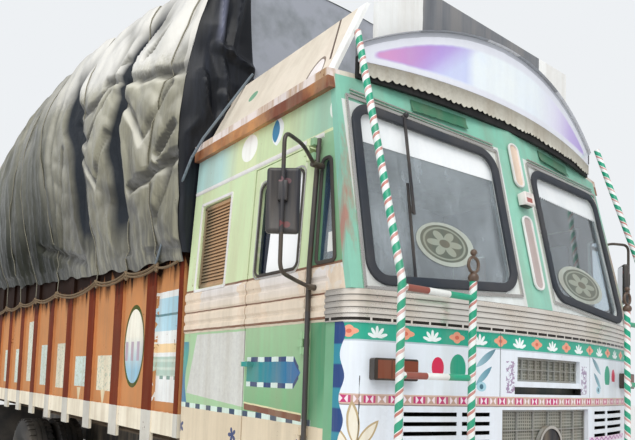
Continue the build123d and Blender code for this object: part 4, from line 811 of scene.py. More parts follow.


# Window glass: toughened sheet, faintly green, with a film of dust. Behind it the cab is dim. The
# door panes slide: their front part is painted opaque white, as the bright sky seen through the cab,
# and their rear part is bare and dark.
PERMIT = "x < -1.13 and -3.712 < y < -3.652 and 2.165 < z < 2.255"
window_glass = glass("cab_window_glass", "#e2ecf2", 0.02,
                     "(0.16 + 0.20 * clip((broad - 0.42) * 3) + 0.14 * clip((runs - 0.5) * 4))"
                     f" * (1.0 - 0.72 * (x > 0.0)) + 0.9 * ({PERMIT})",
                     [(PERMIT, "#f4f4ee"), ("x < -1.13 and y > -3.625 - 0.05 * (z - 2.1)", "#6d86a6")])
dress(window_glass, "cab_glass")
# The front part of each door pane is painted opaque white, as the light of the sky beyond.
PAINTED_SKY = "y < -3.155 - 0.07 * (z - 2.1)"
door_pane_glass = glass("door_pane_sun_film", "#e2ecf2", 0.03, f"0.12 + 0.86 * ({PAINTED_SKY})",
                        [(PAINTED_SKY, "#ffffff"), (f"not ({PAINTED_SKY})", "#3b4a66")])
dress(door_pane_glass, "door_glass_left", "door_glass_right")


# Wiper and mirrors: black plastic heads with small red reflectors, on black steel tubes that are
# bent in a bow and clamped to the cab's corner. The mirror glass faces the driver.
trim_black = enamel("black_trim_plastic", "#22242c", rough=0.35, rust=0.0, dust=0.3, bump=0.15, layers=[
    ("z > 2.0 and a > 1.30 and " + disc("y", "z", (-3.72, 2.41), 0.009, 0.012), "#6b4850"),
    ("z > 2.0 and a > 1.30 and " + disc("y", "z", (-3.72, 2.227), 0.010, 0.013), "#6a2a31"),
    ("a > 1.20 and z > 1.9 and abs(z - 2.33) > 0.14", ("#3b3029", "#2a2624", "fine")),
])
dress(trim_black, "wiper")
mirror_silver = worn_metal("mirror_silver", "#eef1f2", 0.03, amount=0.05)


def bent(corners, radius):
    """A tube's line with each corner rounded off."""
    line = [Vector(corners[0])]
    for before, corner, after in zip(corners, corners[1:], corners[2:]):
        corner = Vector(corner)
        start = corner + (Vector(before) - corner).normalized() * radius
        stop = corner + (Vector(after) - corner).normalized() * radius
        for part in range(9):
            line.append(start.lerp(corner, part / 8).lerp(corner.lerp(stop, part / 8), part / 8))
    return line + [Vector(corners[-1])]


def rod_along(title, lines, thick, finish, steps=1):
    """A round rod or rope laid along lines of points, as one piece."""
    laid = bpy.data.curves.new(title, "CURVE")
    laid.dimensions = "3D"
    laid.bevel_depth = thick / 2
    laid.bevel_resolution = steps
    laid.use_fill_caps = True
    for line in lines:
        spline = laid.splines.new("POLY")
        spline.points.add(len(line) - 1)
        for point, place in zip(spline.points, line):
            point.co = (*place, 1)
    piece = bpy.data.objects.new(title, laid)
    bpy.context.collection.objects.link(piece)
    bpy.ops.object.select_all(action="DESELECT")
    piece.select_set(True)
    bpy.context.view_layer.objects.active = piece
    bpy.ops.object.convert(target="MESH")
    return settle(bpy.context.object, title, finish, smooth=60)


MIRROR_AT, MIRROR_TURN = (1.45, -3.695, 2.33), math.radians(40)
BOW_FEET_Z = (2.560, 2.005)
BOW_LINE = [(1.235, -3.612, BOW_FEET_Z[0]), (1.330, -3.657, 2.612), (1.4719, -3.721, 2.612),
            (1.4719, -3.721, 2.030), (1.335, -3.658, 2.012), (1.235, -3.612, BOW_FEET_Z[1])]
for word, side in SIDES:
    middle = Vector((side * MIRROR_AT[0], *MIRROR_AT[1:]))
    head_place = Matrix.Translation(middle) @ Matrix.Rotation(side * MIRROR_TURN, 4, "Z")
    head = block((0.14, 0.04, 0.275), 0.015, 5)
    pick(lambda m: m.y < -0.0199)
    bpy.ops.mesh.inset(thickness=0.006)
    bpy.ops.transform.translate(value=(0, 0.003, 0))
    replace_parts(settle(head, "mirror_head_" + word, trim_black, place=head_place), "mirrors")
    clamp = block((0.04, 0.030, 0.085), 0.006, 3)
    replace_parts(settle(clamp, "mirror_clamp_" + word, trim_black,
                       place=head_place @ Matrix.Translation((0, -0.027, 0.035))), "mirrors")
    bow = bent([(side * x, y, z) for x, y, z in BOW_LINE], 0.048)
    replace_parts(rod_along("mirror_bow_" + word, [bow], 0.018, trim_black, 3), "mirrors")
    feet = [[(side * 1.248, -3.612, z), (side * 1.182, -3.612, z)] for z in BOW_FEET_Z]
    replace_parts(rod_along("mirror_feet_" + word, feet, 0.028, trim_black, 3), "mirrors")
    pane = ring(upright(0.058, -0.124, 0.124), 0.012, 0, 0.0015)
    out_to = Vector((-side * math.sin(MIRROR_TURN), math.cos(MIRROR_TURN), 0))
    settle(pane, "mirror_glass_" + word, mirror_silver, smooth=0,
           place=facing(middle + out_to * 0.0202, out_to))


# Cab sides and doors: sheet steel over an ash frame, in many coats of pale green. A teal badge
# with checked edges, a checked strip over the skirt and a few pale patches are hand-painted.
def dashes(along, start, pitch, part):
    """Marks that repeat along a line: part of each pitch is painted."""
    return f"(fract(({along} - {start}) / {pitch}) < {part})"


SIDE_MARKS = [
    ("out", "a > 1.165 - 0.06 * high(0.0, z - 2.1)"),
    ("strip", "z - 1.411 - 0.0142 * (y + 3.17)"),
    ("badge", "0.0625 - 1.2 * high(0.0, -3.462 - y) - abs(z - 1.6265)"),
    ("lip", "z - 1.468 - 0.058 * (y + 3.032)"),
    ("px", "fract((y + 2.923) / 0.62 + 0.5) * 0.62 - 0.31"),
    ("pz", "z - 1.292"),
    ("petal", "root(px * px + pz * pz)"),
]
SIDE_LAYERS = [
    ("z > 2.0", ("#cde2b4", "#dde9b8", "clip(runs * 2 - 0.5)")),
    ("z > 2.0 and y < -3.555", ("#639f74", "#a3caa2", "clip((z - 2.1) * 1.2 + broad * 0.6 - 0.3)")),
    ("z > 2.725", ("#d9e4b4", "#b9dcd6", "clip((y + 2.80) * 5)")),
    ("z > 2.74 and y < -3.0", ("#9fcbb2", "#cfe0b0", "clip((y + 3.55) * 4)")),
    (disc("y", "z", (-2.913, 2.852), 0.082, 0.075), "#fbfbf4"),
    (lens("y", "z", (-3.190, 2.862), 0.052, 0.075), "#f4f8f6"),
    (lens("y", "z", (-3.172, 2.870), 0.034, 0.062), "#2b7fa8"),
    (lens("y", "z", (-3.659, 2.835), 0.040, 0.060), "#e9efe6"),
    ("z > 2.0 and z < 2.62 and 0.188 < abs(y + 3.2725) < 0.205 ", "#e6ecd0"),
    ("1.846 < z < 2.106", ("#eddcc6", "#e9e2de", "clip((z - 1.97) * 9)")),
    ("1.846 < z < 2.106 and broad > 0.53", ("#e6c9ae", "#efe3cf", "fine")),
    # Brown lines along the belt's ribs and its upper edge are painted shade.
    ("abs(z - 2.104) < 0.006 or abs(z - 1.974) < 0.004 or abs(z - 1.866) < 0.006", "#7d5138"),
    ("z < 1.85", ("#7bb27e", "#a2ca9c", "clip((z - 1.45) * 2.6)")),
    ("z < 1.85 and y > -3.03", "#a9cf9f"),
    ("z < 1.85 and y < -3.585", ("#4a8f66", "#74b085", "clip(sin(z * 8.0 + y * 11.0) * 0.8 + 0.3)")),
    ("z < 1.838 and y > -3.022 and y < -2.358 - 0.32 * (z - 1.493) and z > 1.443 + 0.075 * (y + 3.022)",
     ("#d0cfc9", "#dcdcd4", "clip(fine * 3 - 1)")),
    ("y > -2.352 + 0.018 * sin(z * 17.0) and z < 1.80 and z > 1.38",
     ("#2a77a3", "#3fa59b", "clip(sin(z * 12.0))")),
    ("badge > 0 and y < -3.047", ("#1465a4", "#1f938a", "clip((y + 3.50) * 2.3)")),
    ("abs(badge) < 0.012 and -3.50 < y < -3.047", "#dff0e8"),
    ("abs(badge) < 0.012 and -3.50 < y < -3.047 and " + dashes("y", -3.522, 0.124, 0.52), "#173a70"),
    ("strip < -0.014 or z < 1.30", ("#ddc8a8", "#e6d8bd", "broad")),
    ("abs(strip) < 0.014 and y > -3.6", "#dcefe2"),
    ("abs(strip) < 0.014 and y > -3.6 and " + dashes("y", -3.202, 0.132, 0.42), "#20405f"),
    # A cream line along the top of the door's brown trim is a painted highlight.
    ("abs(lip) < 0.004 and -3.53 < y < -3.03", "#eadfb0"),
    ("-0.034 < lip and lip < -0.004 and -3.53 < y < -3.03", ("#6d3a25", "#8b5a3a", "fine")),
    ("petal < 0.012 + 0.030 * abs(cos(angle(pz, px) * 2.5)) and strip < -0.05 and abs(pz) < 0.06", "#2c3c70"),
    ("0.955 < z < 0.975 or 0.99 < z < 0.996", "#8e3b34"),
    ("not out", ("#6d675d", "#8a8174", "broad")),
]
side_paint = enamel("pale_green_side_enamel", "#c5dfb0", SIDE_MARKS, SIDE_LAYERS, rough=0.36, rust=0.42,
                    dust=0.3, fade=0.12, dust_colour="#a3977f", rust_colour="#7c4a2c")
dress(side_paint, "cab_side_left", "cab_side_right", "door_left", "door_right", "cab_rear_wall")

CAB_HALF, BELT_TOP, LEAN = 1.2, 2.1, 0.05 / 0.9


def side_place(side, y, z, out=0.0):
    """Place on the cab's side, which leans in above the belt."""
    normal = Vector((side, 0, LEAN if z > BELT_TOP else 0.0)).normalized()
    spot = Vector((side * (CAB_HALF - LEAN * max(0.0, z - BELT_TOP)), y, z))
    return facing(spot + normal * out, normal)


WINDOW, VENT, QUARTER = (-3.2725, 2.356), (-2.5925, 2.366), (-3.65, 2.356)
side_rubber = rubber("side_gasket_rubber", "#35312d", 0.3)
for word, side in SIDES:
    door = "door_" + word
    settle(ring(upright(0.205, -0.262, 0.262), 0.05, 0.010, 0.005, 0.002), "door_window_trim_" + word,
           plated_trim, door, place=side_place(side, *WINDOW, -0.0005))
    settle(ring(upright(0.192, -0.249, 0.249), 0.045, 0.014, 0.006, 0.002), "door_window_rubber_" + word,
           side_rubber, door, place=side_place(side, *WINDOW, -0.0008))
    wedge = [(-3.752, 2.106), (-3.598, 2.106), (-3.590, 2.609), (-3.667, 2.609)]
    shaped = [((y - QUARTER[0]) * side, z - QUARTER[1]) for y, z in wedge]
    shaped = shaped if side > 0 else [shaped[1], shaped[0], shaped[3], shaped[2]]
    settle(ring(shaped, 0.030, 0.018, 0.010, 0.004), "quarter_window_rubber_" + word, side_rubber,
           place=side_place(side, *QUARTER, -0.001))
    settle(ring(upright(0.188, -0.274, 0.274), 0.012, 0.016, 0.006, 0.002), "vent_trim_" + word, white_corner,
           place=side_place(side, *VENT, -0.0005))
    moulding = begin("cylinder", vertices=12, radius=0.010, depth=1.285, rotation=(math.radians(90), 0, 0))
    whole()
    bpy.ops.transform.resize(value=(0.7, 1, 1.3))
    settle(moulding, "side_moulding_" + word, white_corner, place=side_place(side, -2.95, 2.722, -0.001)
           @ Matrix.Rotation(math.radians(90), 4, "Z") @ Matrix.Rotation(math.radians(90), 4, "Y"))
    post = begin("cylinder", vertices=12, radius=0.012, depth=0.97)
    whole()
    bpy.ops.transform.translate(value=(side * 1.2175, -3.578, 1.615))
    pick(lambda m: m.z > BELT_TOP - 0.01)
    bpy.ops.mesh.extrude_region_move(TRANSFORM_OT_translate={"value": (-side * LEAN * 0.6, 0, 0.6)})
    settle(post, "door_post_tube_" + word, trim_black)


# Vent shutters: two dozen thin wooden slats in a frame, each lapping the one below, in brown
# varnish. Towards the rear they are painted darker, as painted shade.
SLATS, SLAT_STEP = 23, 0.0200
slat_varnish = enamel("brown_slat_varnish", "#bb9670", rough=0.5, rust=0.15, dust=0.35, layers=[
    ("clip((y + 2.545) * 16 + 1.4 * (fine - 0.5))", ("#4d4638", "#7d6a50", "clip(fine * 2)"))])
for word, side in SIDES:
    surround = ring(upright(0.1645, -0.2505, 0.2505), 0.004, 0.020, 0.014, 0.002)
    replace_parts(settle(surround, "vent_frame_" + word, slat_varnish,
                       place=side_place(side, *VENT, -0.026)), "vent_shutters")
    slat = block((0.292, 0.0235, 0.0042), 0.0012)
    tilt = Matrix.Rotation(math.radians(-32), 4, "X")
    steps_up = [Matrix.Translation((0, (k - (SLATS - 1) / 2) * SLAT_STEP, 0)) @ tilt for k in range(SLATS)]
    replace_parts(settle(copied(slat, steps_up), "vent_slats_" + word, slat_varnish,
                       place=side_place(side, *VENT, -0.022)), "vent_shutters")


# Roof: sheet steel with a turned drip rail. Its rail is rusty brown where water stands, and the
# old cream coat peels off it.
dress(enamel("peeling_roof_enamel", "#ddd6c6", rough=0.5, rust=0.6, dust=0.5,
             layers=[("a > 1.12", ("#e9dcd6", "#c79a6c", "clip((runs - 0.45) * 6)")),
                     ("a > 1.155 and z < 2.985", ("#7b3f24", "#c48a55", "clip((broad - 0.45) * 5)")),
                     ("z < 2.99 and a < 1.13", "#857c6f")]), "cab_roof")


# Crown board: a bowed signboard on the roof's front edge. Its moulded plastic face is airbrushed
# from purple to sky blue and lavender, with no text, in a white rim. A ragged tin fringe hangs below,
# painted darker at the top and lighter at its tips as painted shade and light. Behind the fringe the
# board's back is painted black, as a painted shadow.
BOARD_BOW, BOARD_FRONT = 5.203, -3.765
BOARD_MARKS = [
    ("inner", "clip((3.402 - 0.27 * x * x - z) * 60) * clip((z - 3.165 + 0.045 * x * x) * 60)"
              " * clip((0.955 - a) * 30)"),
]
BOARD_LAYERS = [
    ("inner", ("#f7fdfc", "#e9f2fb", "clip(broad * 3 - 1)")),
    ("inner * clip((-0.30 - x) * 14)", ("#c3cdf5", "#d6dcf7", "broad")),
    ("inner * clip((-0.30 - x - (3.34 - z) * 1.2) * 7)", ("#b7a2e0", "#c3b4ea", "broad")),
    ("inner * clip((-0.40 - x - (3.34 - z) * 1.1) * 7)", ("#d79acb", "#b493da", "clip((x + 0.88) * 3.0)")),
    ("inner * clip((x - 0.28) * 2.4)", ("#dacdf3", "#b39de0", "clip((x - 0.48) * 2.4)")),
    ("z > 3.438 - 0.27 * x * x", "#b9bcc4"),
]
board_face = enamel("airbrushed_board_face", "#e6e8f1", BOARD_MARKS, BOARD_LAYERS, rough=0.16, rust=0.02,
                    dust=0.10, fade=0.05, bump=0.06, hand=0.004, dust_colour="#c3c3cc")
board_rim_paint = enamel("white_rim_enamel", "#e9ebef", rough=0.3, rust=0.15, dust=0.2,
                         layers=[("z > 3.30 and broad > 0.50", "#a9adb3")])
# The board's back is grey. Below z 3.12, behind the fringe, it is painted near black as a painted shadow.
board_back_shadow = enamel("board_back_painted_shadow", "#6b6e72", rough=0.7, rust=0.0, dust=0.1, fade=0.1,
                      dust_colour="#55524c", layers=[("z < 3.12", "#070606")])
# The fringe is painted darker at its top and lighter at its lower tips: painted shade and light.
fringe_tin = enamel("ragged_fringe_tin", "#c9c5b8", rough=0.55, rust=0.3, dust=0.35, hand=0.004, layers=[
    ("clip((z - 3.060 + 0.03 * x * x) * 14 + 1.2 * (fine - 0.5))",
     ("#8b867a", "#aaa69a", "clip((x + 1.0) * 0.6)")),
    ("clip((3.066 - 0.03 * x * x - z) * 30 + fine - 0.6)", ("#d6d2c3", "#eeebdf", "clip((x + 0.4) * 1.2)")),
])


def on_board(x, out=0.0):
    """How far back the bowed front of the board lies at x, standing off by out."""
    return BOARD_FRONT + BOARD_BOW - math.sqrt(BOARD_BOW ** 2 - x * x) - out


def bowed(title, edges, half, out, thick, finish, rim=0.0, columns=90, rows=6, soft=0.0):
    """A plate on the board's bow between a low and a high edge, opened to a border if it has a rim."""
    piece = begin("grid", x_subdivisions=columns, y_subdivisions=rows, size=2)

    def on_bow(x, y, z):
        low, high = edges[0](x * half), edges[1](x * half)
        return x * half, on_board(x * half, out), low + (high - low) * ((y + 1) / 2)
    reshape(piece, on_bow)
    if rim:
        whole()
        bpy.ops.mesh.inset(thickness=rim, use_even_offset=True)
        bpy.ops.mesh.delete(type="FACE")
    thicken((0, thick, 0))
    if soft:
        modify(piece, "BEVEL", width=soft, segments=2, limit_method="ANGLE")
    settle(piece, title, finish, smooth=35)
    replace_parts(piece, "crown_board")


def board_top(x):
    """The arch of the board's upper edge."""
    return 3.462 - 0.27 * x * x


def board_low(x):
    """The board's lower edge, which the fringe hangs from."""
    return 3.140 - 0.045 * x * x


def fringe_low(x):
    """The fringe's cut edge: small hanging lobes, worn unevenly."""
    wear = 0.012 * noise.noise((x * 6.0, 2.0, 0.0)) + 0.007 * noise.noise((x * 23.0, 5.0, 0.0))
    lobes = abs(math.sin(x * 78.0 + 2.5 * noise.noise((x * 5.0, 0, 9.0))))
    return 3.056 - 0.018 * x * x - 0.011 * lobes + wear


bowed("board_back", (lambda x: 3.0135, lambda x: board_top(x) + 0.010), 1.034, -0.004, 0.018, board_back_shadow)
bowed("board_face", (board_low, board_top), 1.030, 0.003, 0.008, board_face)
bowed("board_rim", (lambda x: board_low(x) - 0.004, lambda x: board_top(x) + 0.003), 1.033, 0.0075, 0.010,
      board_rim_paint, rim=0.016, soft=0.003)
bowed("board_fringe", (fringe_low, lambda x: board_low(x) - 0.003), 1.030, 0.0055, 0.0025, fringe_tin,
      columns=520, rows=5)


# Roof rack: sheet sides on angle iron, cream with soft rust runs and a faded leaf. Its front is a
# dark grey sheet between two white boards.
dress(enamel("roof_rack_sheet", "#eadfcd", rough=0.55, rust=0.35, dust=0.22, fade=0.22,
             rust_colour="#8a5a3c", dust_colour="#a8957c", layers=[
                 ("clip((broad - 0.48) * 5) * 0.5", ("#d9bfa6", "#f4efe9", "fine")),
                 ("a > 0.90 and " + disc("y", "z", (-3.375, 3.115), 0.068, 0.115), "#86776a"),
                 ("a > 0.90 and " + disc("y", "z", (-3.378, 3.110), 0.056, 0.103), "#f3ebe9"),
                 ("a > 0.90 and " + disc("y", "z", (-2.657, 3.290), 0.045, 0.035), "#7fae90"),
                 ("a > 0.90 and abs(y + 3.43 - 0.35 * (z - 3.29)) < 0.008 and z > 3.17", "#5d4a3e"),
                 ("y < -3.50 and a < 0.54", ("#66696f", "#8b8e93", "clip(runs * 2 - 0.5)")),
                 ("y < -3.50 and a > 0.54", "#fbfcfa")]), "roof_rack")


# Cab inside: dash and floor of painted board, and a steering wheel of black plastic. They're seen
# only dimly.
dress(enamel("inside_board_enamel", "#4a524e", rust=0.1, dust=0.5), "dashboard", "cab_floor")
dress(rubber("wheel_rim_plastic", "#19191b", 0.2), "steering_wheel")


# Seats: foam cushions in maroon vinyl on a welded box. Each cover is stitched in upright pipes
# between two long seams, and sags where the driver sits.
vinyl = enamel("maroon_seat_vinyl", "#6d2a26", rough=0.42, rust=0.0, dust=0.35, bump=0.25, hand=0.0,
               layers=[("abs(fract(a / 0.0775 - 0.677) - 0.5) > 0.46", "#43201c")])
seat_box_paint = enamel("seat_box_enamel", "#55605a", rust=0.3, dust=0.5)


def cushion(title, width, depth, height, sag, place):
    """A piped foam cushion: a rounded block whose top is raised between its seams."""
    piece = block((width, depth, height), height * 0.3, 3)
    modify(piece, "REMESH", mode="VOXEL", voxel_size=0.011)
    for vertex in piece.data.vertices:
        x, y, z = vertex.co
        across, along = x / (width / 2), y / (depth / 2)
        if z > 0:
            full = max(0.0, 1 - across ** 4) * max(0.0, 1 - along ** 4)
            pipes = abs(math.sin(math.pi * (x / 0.0775 + 0.5)))
            vertex.co.z += full * (0.018 * pipes - 0.016 - sag * math.exp(-(across ** 2 + along ** 2) * 2.2))
        vertex.co.z += 0.003 * noise.noise((x * 9, y * 9, z * 9))
    modify(piece, "SMOOTH", factor=0.5, iterations=3)
    settle(piece, title, vinyl, smooth=60, place=place)
    return piece


seat_parts = []
for word, x in (("passenger", 0.75), ("driver", -0.75)):
    base = block((0.56, 0.43, 0.305), 0.012)
    pick(lambda m: abs(m.y) > 0.2 and abs(m.x) < 0.01)
    bpy.ops.mesh.inset(thickness=0.05)
    bpy.ops.mesh.extrude_region_shrink_fatten(TRANSFORM_OT_shrink_fatten={"value": -0.008})
    seat_parts.append(settle(base, "seat_box_" + word, seat_box_paint,
                             place=Matrix.Translation((x, -2.835, 1.3175))))
    seat_parts.append(cushion("seat_cushion_" + word, 0.62, 0.545, 0.125, 0.018 if x < 0 else 0.008,
                              Matrix.Translation((x, -2.8275, 1.533))))
    rise = Matrix.Translation((x, -2.492, 1.868)) @ Matrix.Rotation(math.radians(76.5), 4, "X")
    seat_parts.append(cushion("seat_back_" + word, 0.61, 0.565, 0.085, 0.006, rise))
for part in seat_parts:
    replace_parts(part, "seats")


# Guard rails: water pipe bent and welded to the bumper, wound with green, white and thin red
# bands by hand. Each short post ends in a ball, a ring and a knob.
POLE_MARKS = [
    ("up", "high(0.0, z - 2.0) / 1.2"),
    ("tall", "a > 0.9"),
    ("cx", "a - 0.698 - tall * (0.439 - 0.062 * up)"),
    ("cy", "y + 4.08 - tall * 0.382 * up"),
    ("t", "fract(angle(cy, cx) / 6.28318 + z / 0.078)"),
    ("bar", "((abs(z - 1.626) < 0.022) or (abs(z - 1.973) < 0.022)) and a > 0.722 and a < 1.112"),
]
dress(enamel("hand_wound_pole_enamel", "#14a07c", POLE_MARKS, [
    ("t > 0.44", "#eff3f1"),
    ("t > 0.76 and t < 0.94", ("#c3766a", "#d9b3ae", "clip(broad * 4 - 1.5)")),
    ("bar", ("#109a74", "#22ab86", "fine")),
    ("bar and a > 0.857", "#eef0ec"),
    ("bar and a > 0.988", "#95483c"),
    ("z > 2.0445 and a < 0.80", ("#3f332c", "#6f5646", "fine")),
], hand=0.003, rough=0.3, rust=0.25, dust=0.22, fade=0.1), "guard_rails")


# Front bumper: a folded steel beam with swept ends, in white, red and teal blocks. It carries a
# blank yellow number plate and has two tow holes in its face.
dress(enamel("painted_bumper", "#e9ece8", [("slant", "fract((a + z * 0.5) / 0.30)")], [
    ("y < -4.1 and 0.68 < z < 0.92 and slant < 0.45", "#0f9c82"),
    ("y < -4.1 and 0.68 < z < 0.92 and slant > 0.45 and slant < 0.55", "#cf2f52"),
    ("z > 0.945 or z < 0.655", "#b23a34"),
], rust=0.5, dust=0.5), "front_bumper")
plate_yellow = enamel("blank_plate_yellow", "#d9a92e", rough=0.4, rust=0.1, dust=0.4)


def number_plate(title, place):
    """A blank pressed plate with a raised rim."""
    piece = block((0.46, 0.13, 0.004))
    pick(lambda m: m.z > 0.001)
    bpy.ops.mesh.inset(thickness=0.006)
    bpy.ops.transform.translate(value=(0, 0, 0.002))
    bpy.ops.mesh.inset(thickness=0.004)
    bpy.ops.transform.translate(value=(0, 0, -0.002))
    return settle(piece, title, plate_yellow, place=place)


number_plate("front_number_plate", facing((0, -4.2402, 0.80), (0, -1, 0)))


# Load body: boarded steel sides in faded orange, with red-brown channel posts, over a cream sill.
# Rain brings dark streaks down from the cover, and under the cover's hem the wall is painted darker
# still, as painted shade. The rear bays have an old whitewashed patch.
BODY_MARKS = [
    ("post", "a > 1.1965"),
    ("skin", "a > 1.16"),
    ("bay", "fract((y + 1.11) / 0.64) * 0.64 - 0.32"),
    ("which", "floor((y + 1.11) / 0.64)"),
    ("later", "y > -1.11"),
    ("panel", "-2.192 < y < -1.8325"),
    ("patch", "later and abs(bay + 0.012 * which) < 0.165 - 0.012 * which"
              " and z > 1.452 + 0.02 * sin(which * 2.0)"
              " and z < 1.735 + 0.13 * (which > 1.5) + 0.28 * (which > 3.5) - 0.3 * (which > 4.5)"),
    # Dark rain streaks, and towards the hem painted shade under the cover.
    ("drip", "clip((z - 2.26 + 0.62 * (runs - 0.42)) * 7)"),
    ("oval", "power((y + 1.412) / 0.194, 2.0) + power((z - 1.797) / 0.302, 2.0)"),
]
BODY_LAYERS = [
    ("patch", ("#e7dfc6", "#cfe0da", "clip(abs(sin(which * 1.7)) + fine * 0.5 - 0.3)")),
    ("patch and fine > 0.56", "#b9c3b0"),
    ("later and which < 1.5 and abs(bay) < 0.012 + 0.35 * (z - 1.34) and z > 1.345 and z < 1.46", "#e2d2ae"),
    ("panel and 1.42 < z < 2.148", ("#e9edee", "#f4f4ee", "fine")),
    ("panel and 1.885 < z < 2.105", ("#9fcfe0", "#c6e2ec", "clip((y + 2.19) * 2.6)")),
    ("panel and abs(z - 1.992) < 0.008", "#6a8f96"),
    ("panel and 1.742 < z < 1.80", "#f2d3a4"),
    ("panel and 1.585 < z < 1.715", ("#b9cfc2", "#d3e0d3", "clip(sin(z * 120.0))")),
    ("-2.17 < y < -1.86 and abs(z - 1.578) < 0.012 and " + dashes("y", -2.17, 0.11, 0.5), "#8ba59b"),
    ("oval < 1 and y < -1.2", "#4a5628"),
    ("oval < 0.80 and y < -1.2", ("#9dc8dc", "#f6f2e2", "clip((z - 1.62) * 4)")),
    ("oval < 0.80 and y < -1.2 and abs(z - 1.76) < 0.07 and fract((y + 1.30) / 0.11) < 0.45",
     ("#9fb9c9", "#d9a3b0", "fine")),
    ("post", ("#5f1f0c", "#7a3014", "broad")),
    ("z < 1.355", ("#e9dec5", "#f6eedb", "broad")),
    ("z < 1.355 and post", ("#bdbab0", "#d9d6cc", "broad")),
    ("drip > 0 and z > 1.5 and not post", ("#c98a58", "#3a2015", "drip")),
    ("drip > 0 and z > 1.5 and post", ("#6a2810", "#24100a", "drip")),
    ("drip > 0.75", "#26140b"),
    ("not skin", ("#6e5a48", "#8b7762", "broad")),
    ("not skin and z > 2.2", ("#211007", "#4f2410", "clip((runs - 0.35) * 3)")),
]
body_paint = enamel("faded_orange_body", "#cb8c5a", BODY_MARKS, BODY_LAYERS, rough=0.72, rust=0.5,
                    dust="(0.32 - 0.3 * (z > 2.2) - 0.2 * post)", fade=0.25, bump=0.4, rust_colour="#5c2d1c",
                    dust_colour="#9c7f63", shine=0.12)
dress(body_paint, "load_side_left", "load_side_right")
dress(enamel("worn_floor_timber", "#6b5a48", rough=0.7, rust=0.5, dust=0.5, bump=0.6), "load_floor")
dress(enamel("headboard_enamel", "#a9623a", rough=0.5, rust=0.6, dust=0.4,
             layers=[("y < -2.20 and z > 1.30", ("#7a3f28", "#9b5a38", "broad"))]), "headboard")


# Tailgate: framed and boarded, orange between brown rails, with a painted flower in each field.
# It hangs on three hinge loops. Below it are a blank plate and two boxes of red and amber lamps.
GATE_MARKS = [
    ("gx", "(fract((x + 0.375) / 0.75) - 0.5) * 0.75"),
    ("gz", "z - 1.63 - 0.44 * (z > 1.845)"),
    ("ray", "angle(gz, gx)"),
    ("far", "root(gx * gx + gz * gz)"),
]
dress(enamel("tailgate_enamel", "#7a3f28", GATE_MARKS, [
    ("y > 4.17 and abs(gx) < 0.308 and (abs(z - 1.6275) < 0.180 or abs(z - 2.065) < 0.183)", "#cb8c5a"),
    ("y > 4.17 and far < 0.065 + 0.065 * abs(cos(ray * 3.0))", "#efe9da"),
    ("y > 4.17 and far < 0.045 + 0.045 * abs(cos(ray * 3.0))", "#0f9c82"),
    ("y > 4.17 and far < 0.035", "#cf2f52"),
], rough=0.5, rust=0.5, dust=0.4), "tailgate")
lamp_red = enamel("tail_lamp_red", "#a3211c", rough=0.15, rust=0.0, dust=0.3, bump=0.1)
lamp_amber = enamel("tail_lamp_amber", "#c7772a", rough=0.15, rust=0.0, dust=0.3, bump=0.1)
for word, side in SIDES:
    shell = block((0.36, 0.11, 0.05), 0.012, 3)
    pick(lambda m: m.z > 0.0249 and m.xy.length < 0.001)
    bpy.ops.mesh.inset(thickness=0.008)
    bpy.ops.transform.translate(value=(0, 0, -0.006))
    rear_place = facing((side * 0.86, 4.1345, 0.735), (0, 1, 0))
    settle(shell, "tail_lamp_body_" + word, chassis_black, place=rear_place)
    for k, (shift, finish) in enumerate(((-0.11, lamp_red), (0.0, lamp_amber), (0.11, lamp_red))):
        lens_shape = begin("uv_sphere", segments=24, ring_count=12, radius=0.042)
        whole()
        bpy.ops.transform.resize(value=(1, 1, 0.30))
        settle(lens_shape, f"tail_lens_{word}_{k}", finish,
               place=rear_place @ Matrix.Translation((shift, 0, 0.020)))
number_plate("rear_number_plate", facing((0, 4.1165, 0.735), (0, 1, 0)))


# Cover: one sheet of laminated plastic, silver-olive outside and black beneath, roped down over
# hoops that aren't modelled. It hangs in pleats and crumples between the ropes, with two deep folds
# that are painted near black as shade. Its upper front is painted nearly white as a highlight of sky
# glare, and more light and shade is painted along its folds and creases.
COVER = np.array([(-2.274, 2.31, 1.262, 2.70, 4.45), (-1.20, 2.37, 1.345, 3.15, 4.62),
                  (0.35, 2.47, 1.375, 3.30, 4.83), (2.00, 2.58, 1.385, 3.35, 4.93),
                  (3.45, 2.70, 1.380, 3.35, 4.90), (4.24, 2.76, 1.330, 3.30, 4.76)])
ROPES = [[(2.35, -1.879), (3.03, -1.838), (3.66, -2.007), (3.95, -2.10)],
         [(2.42, -1.316), (3.03, -1.283), (3.63, -1.316)], [(2.68, -0.635), (3.49, -0.485), (4.32, -0.384)],
         [(2.68, 0.55), (4.17, 0.83)], [(2.7, 1.40), (4.2, 1.46)], [(2.7, 2.12), (4.2, 2.05)],
         [(2.7, 2.90), (4.2, 2.98)], [(2.7, 3.78), (4.2, 3.70)]]
DEEP_FOLDS = [([(2.3, -1.25), (3.04, -1.26), (3.49, -1.30), (3.86, -1.32), (4.35, -1.50)], 0.165),
              ([(2.4, -0.52), (2.71, -0.468), (3.07, -0.398), (3.54, -0.29), (4.04, -0.15), (4.3, -0.10)],
               0.185)]
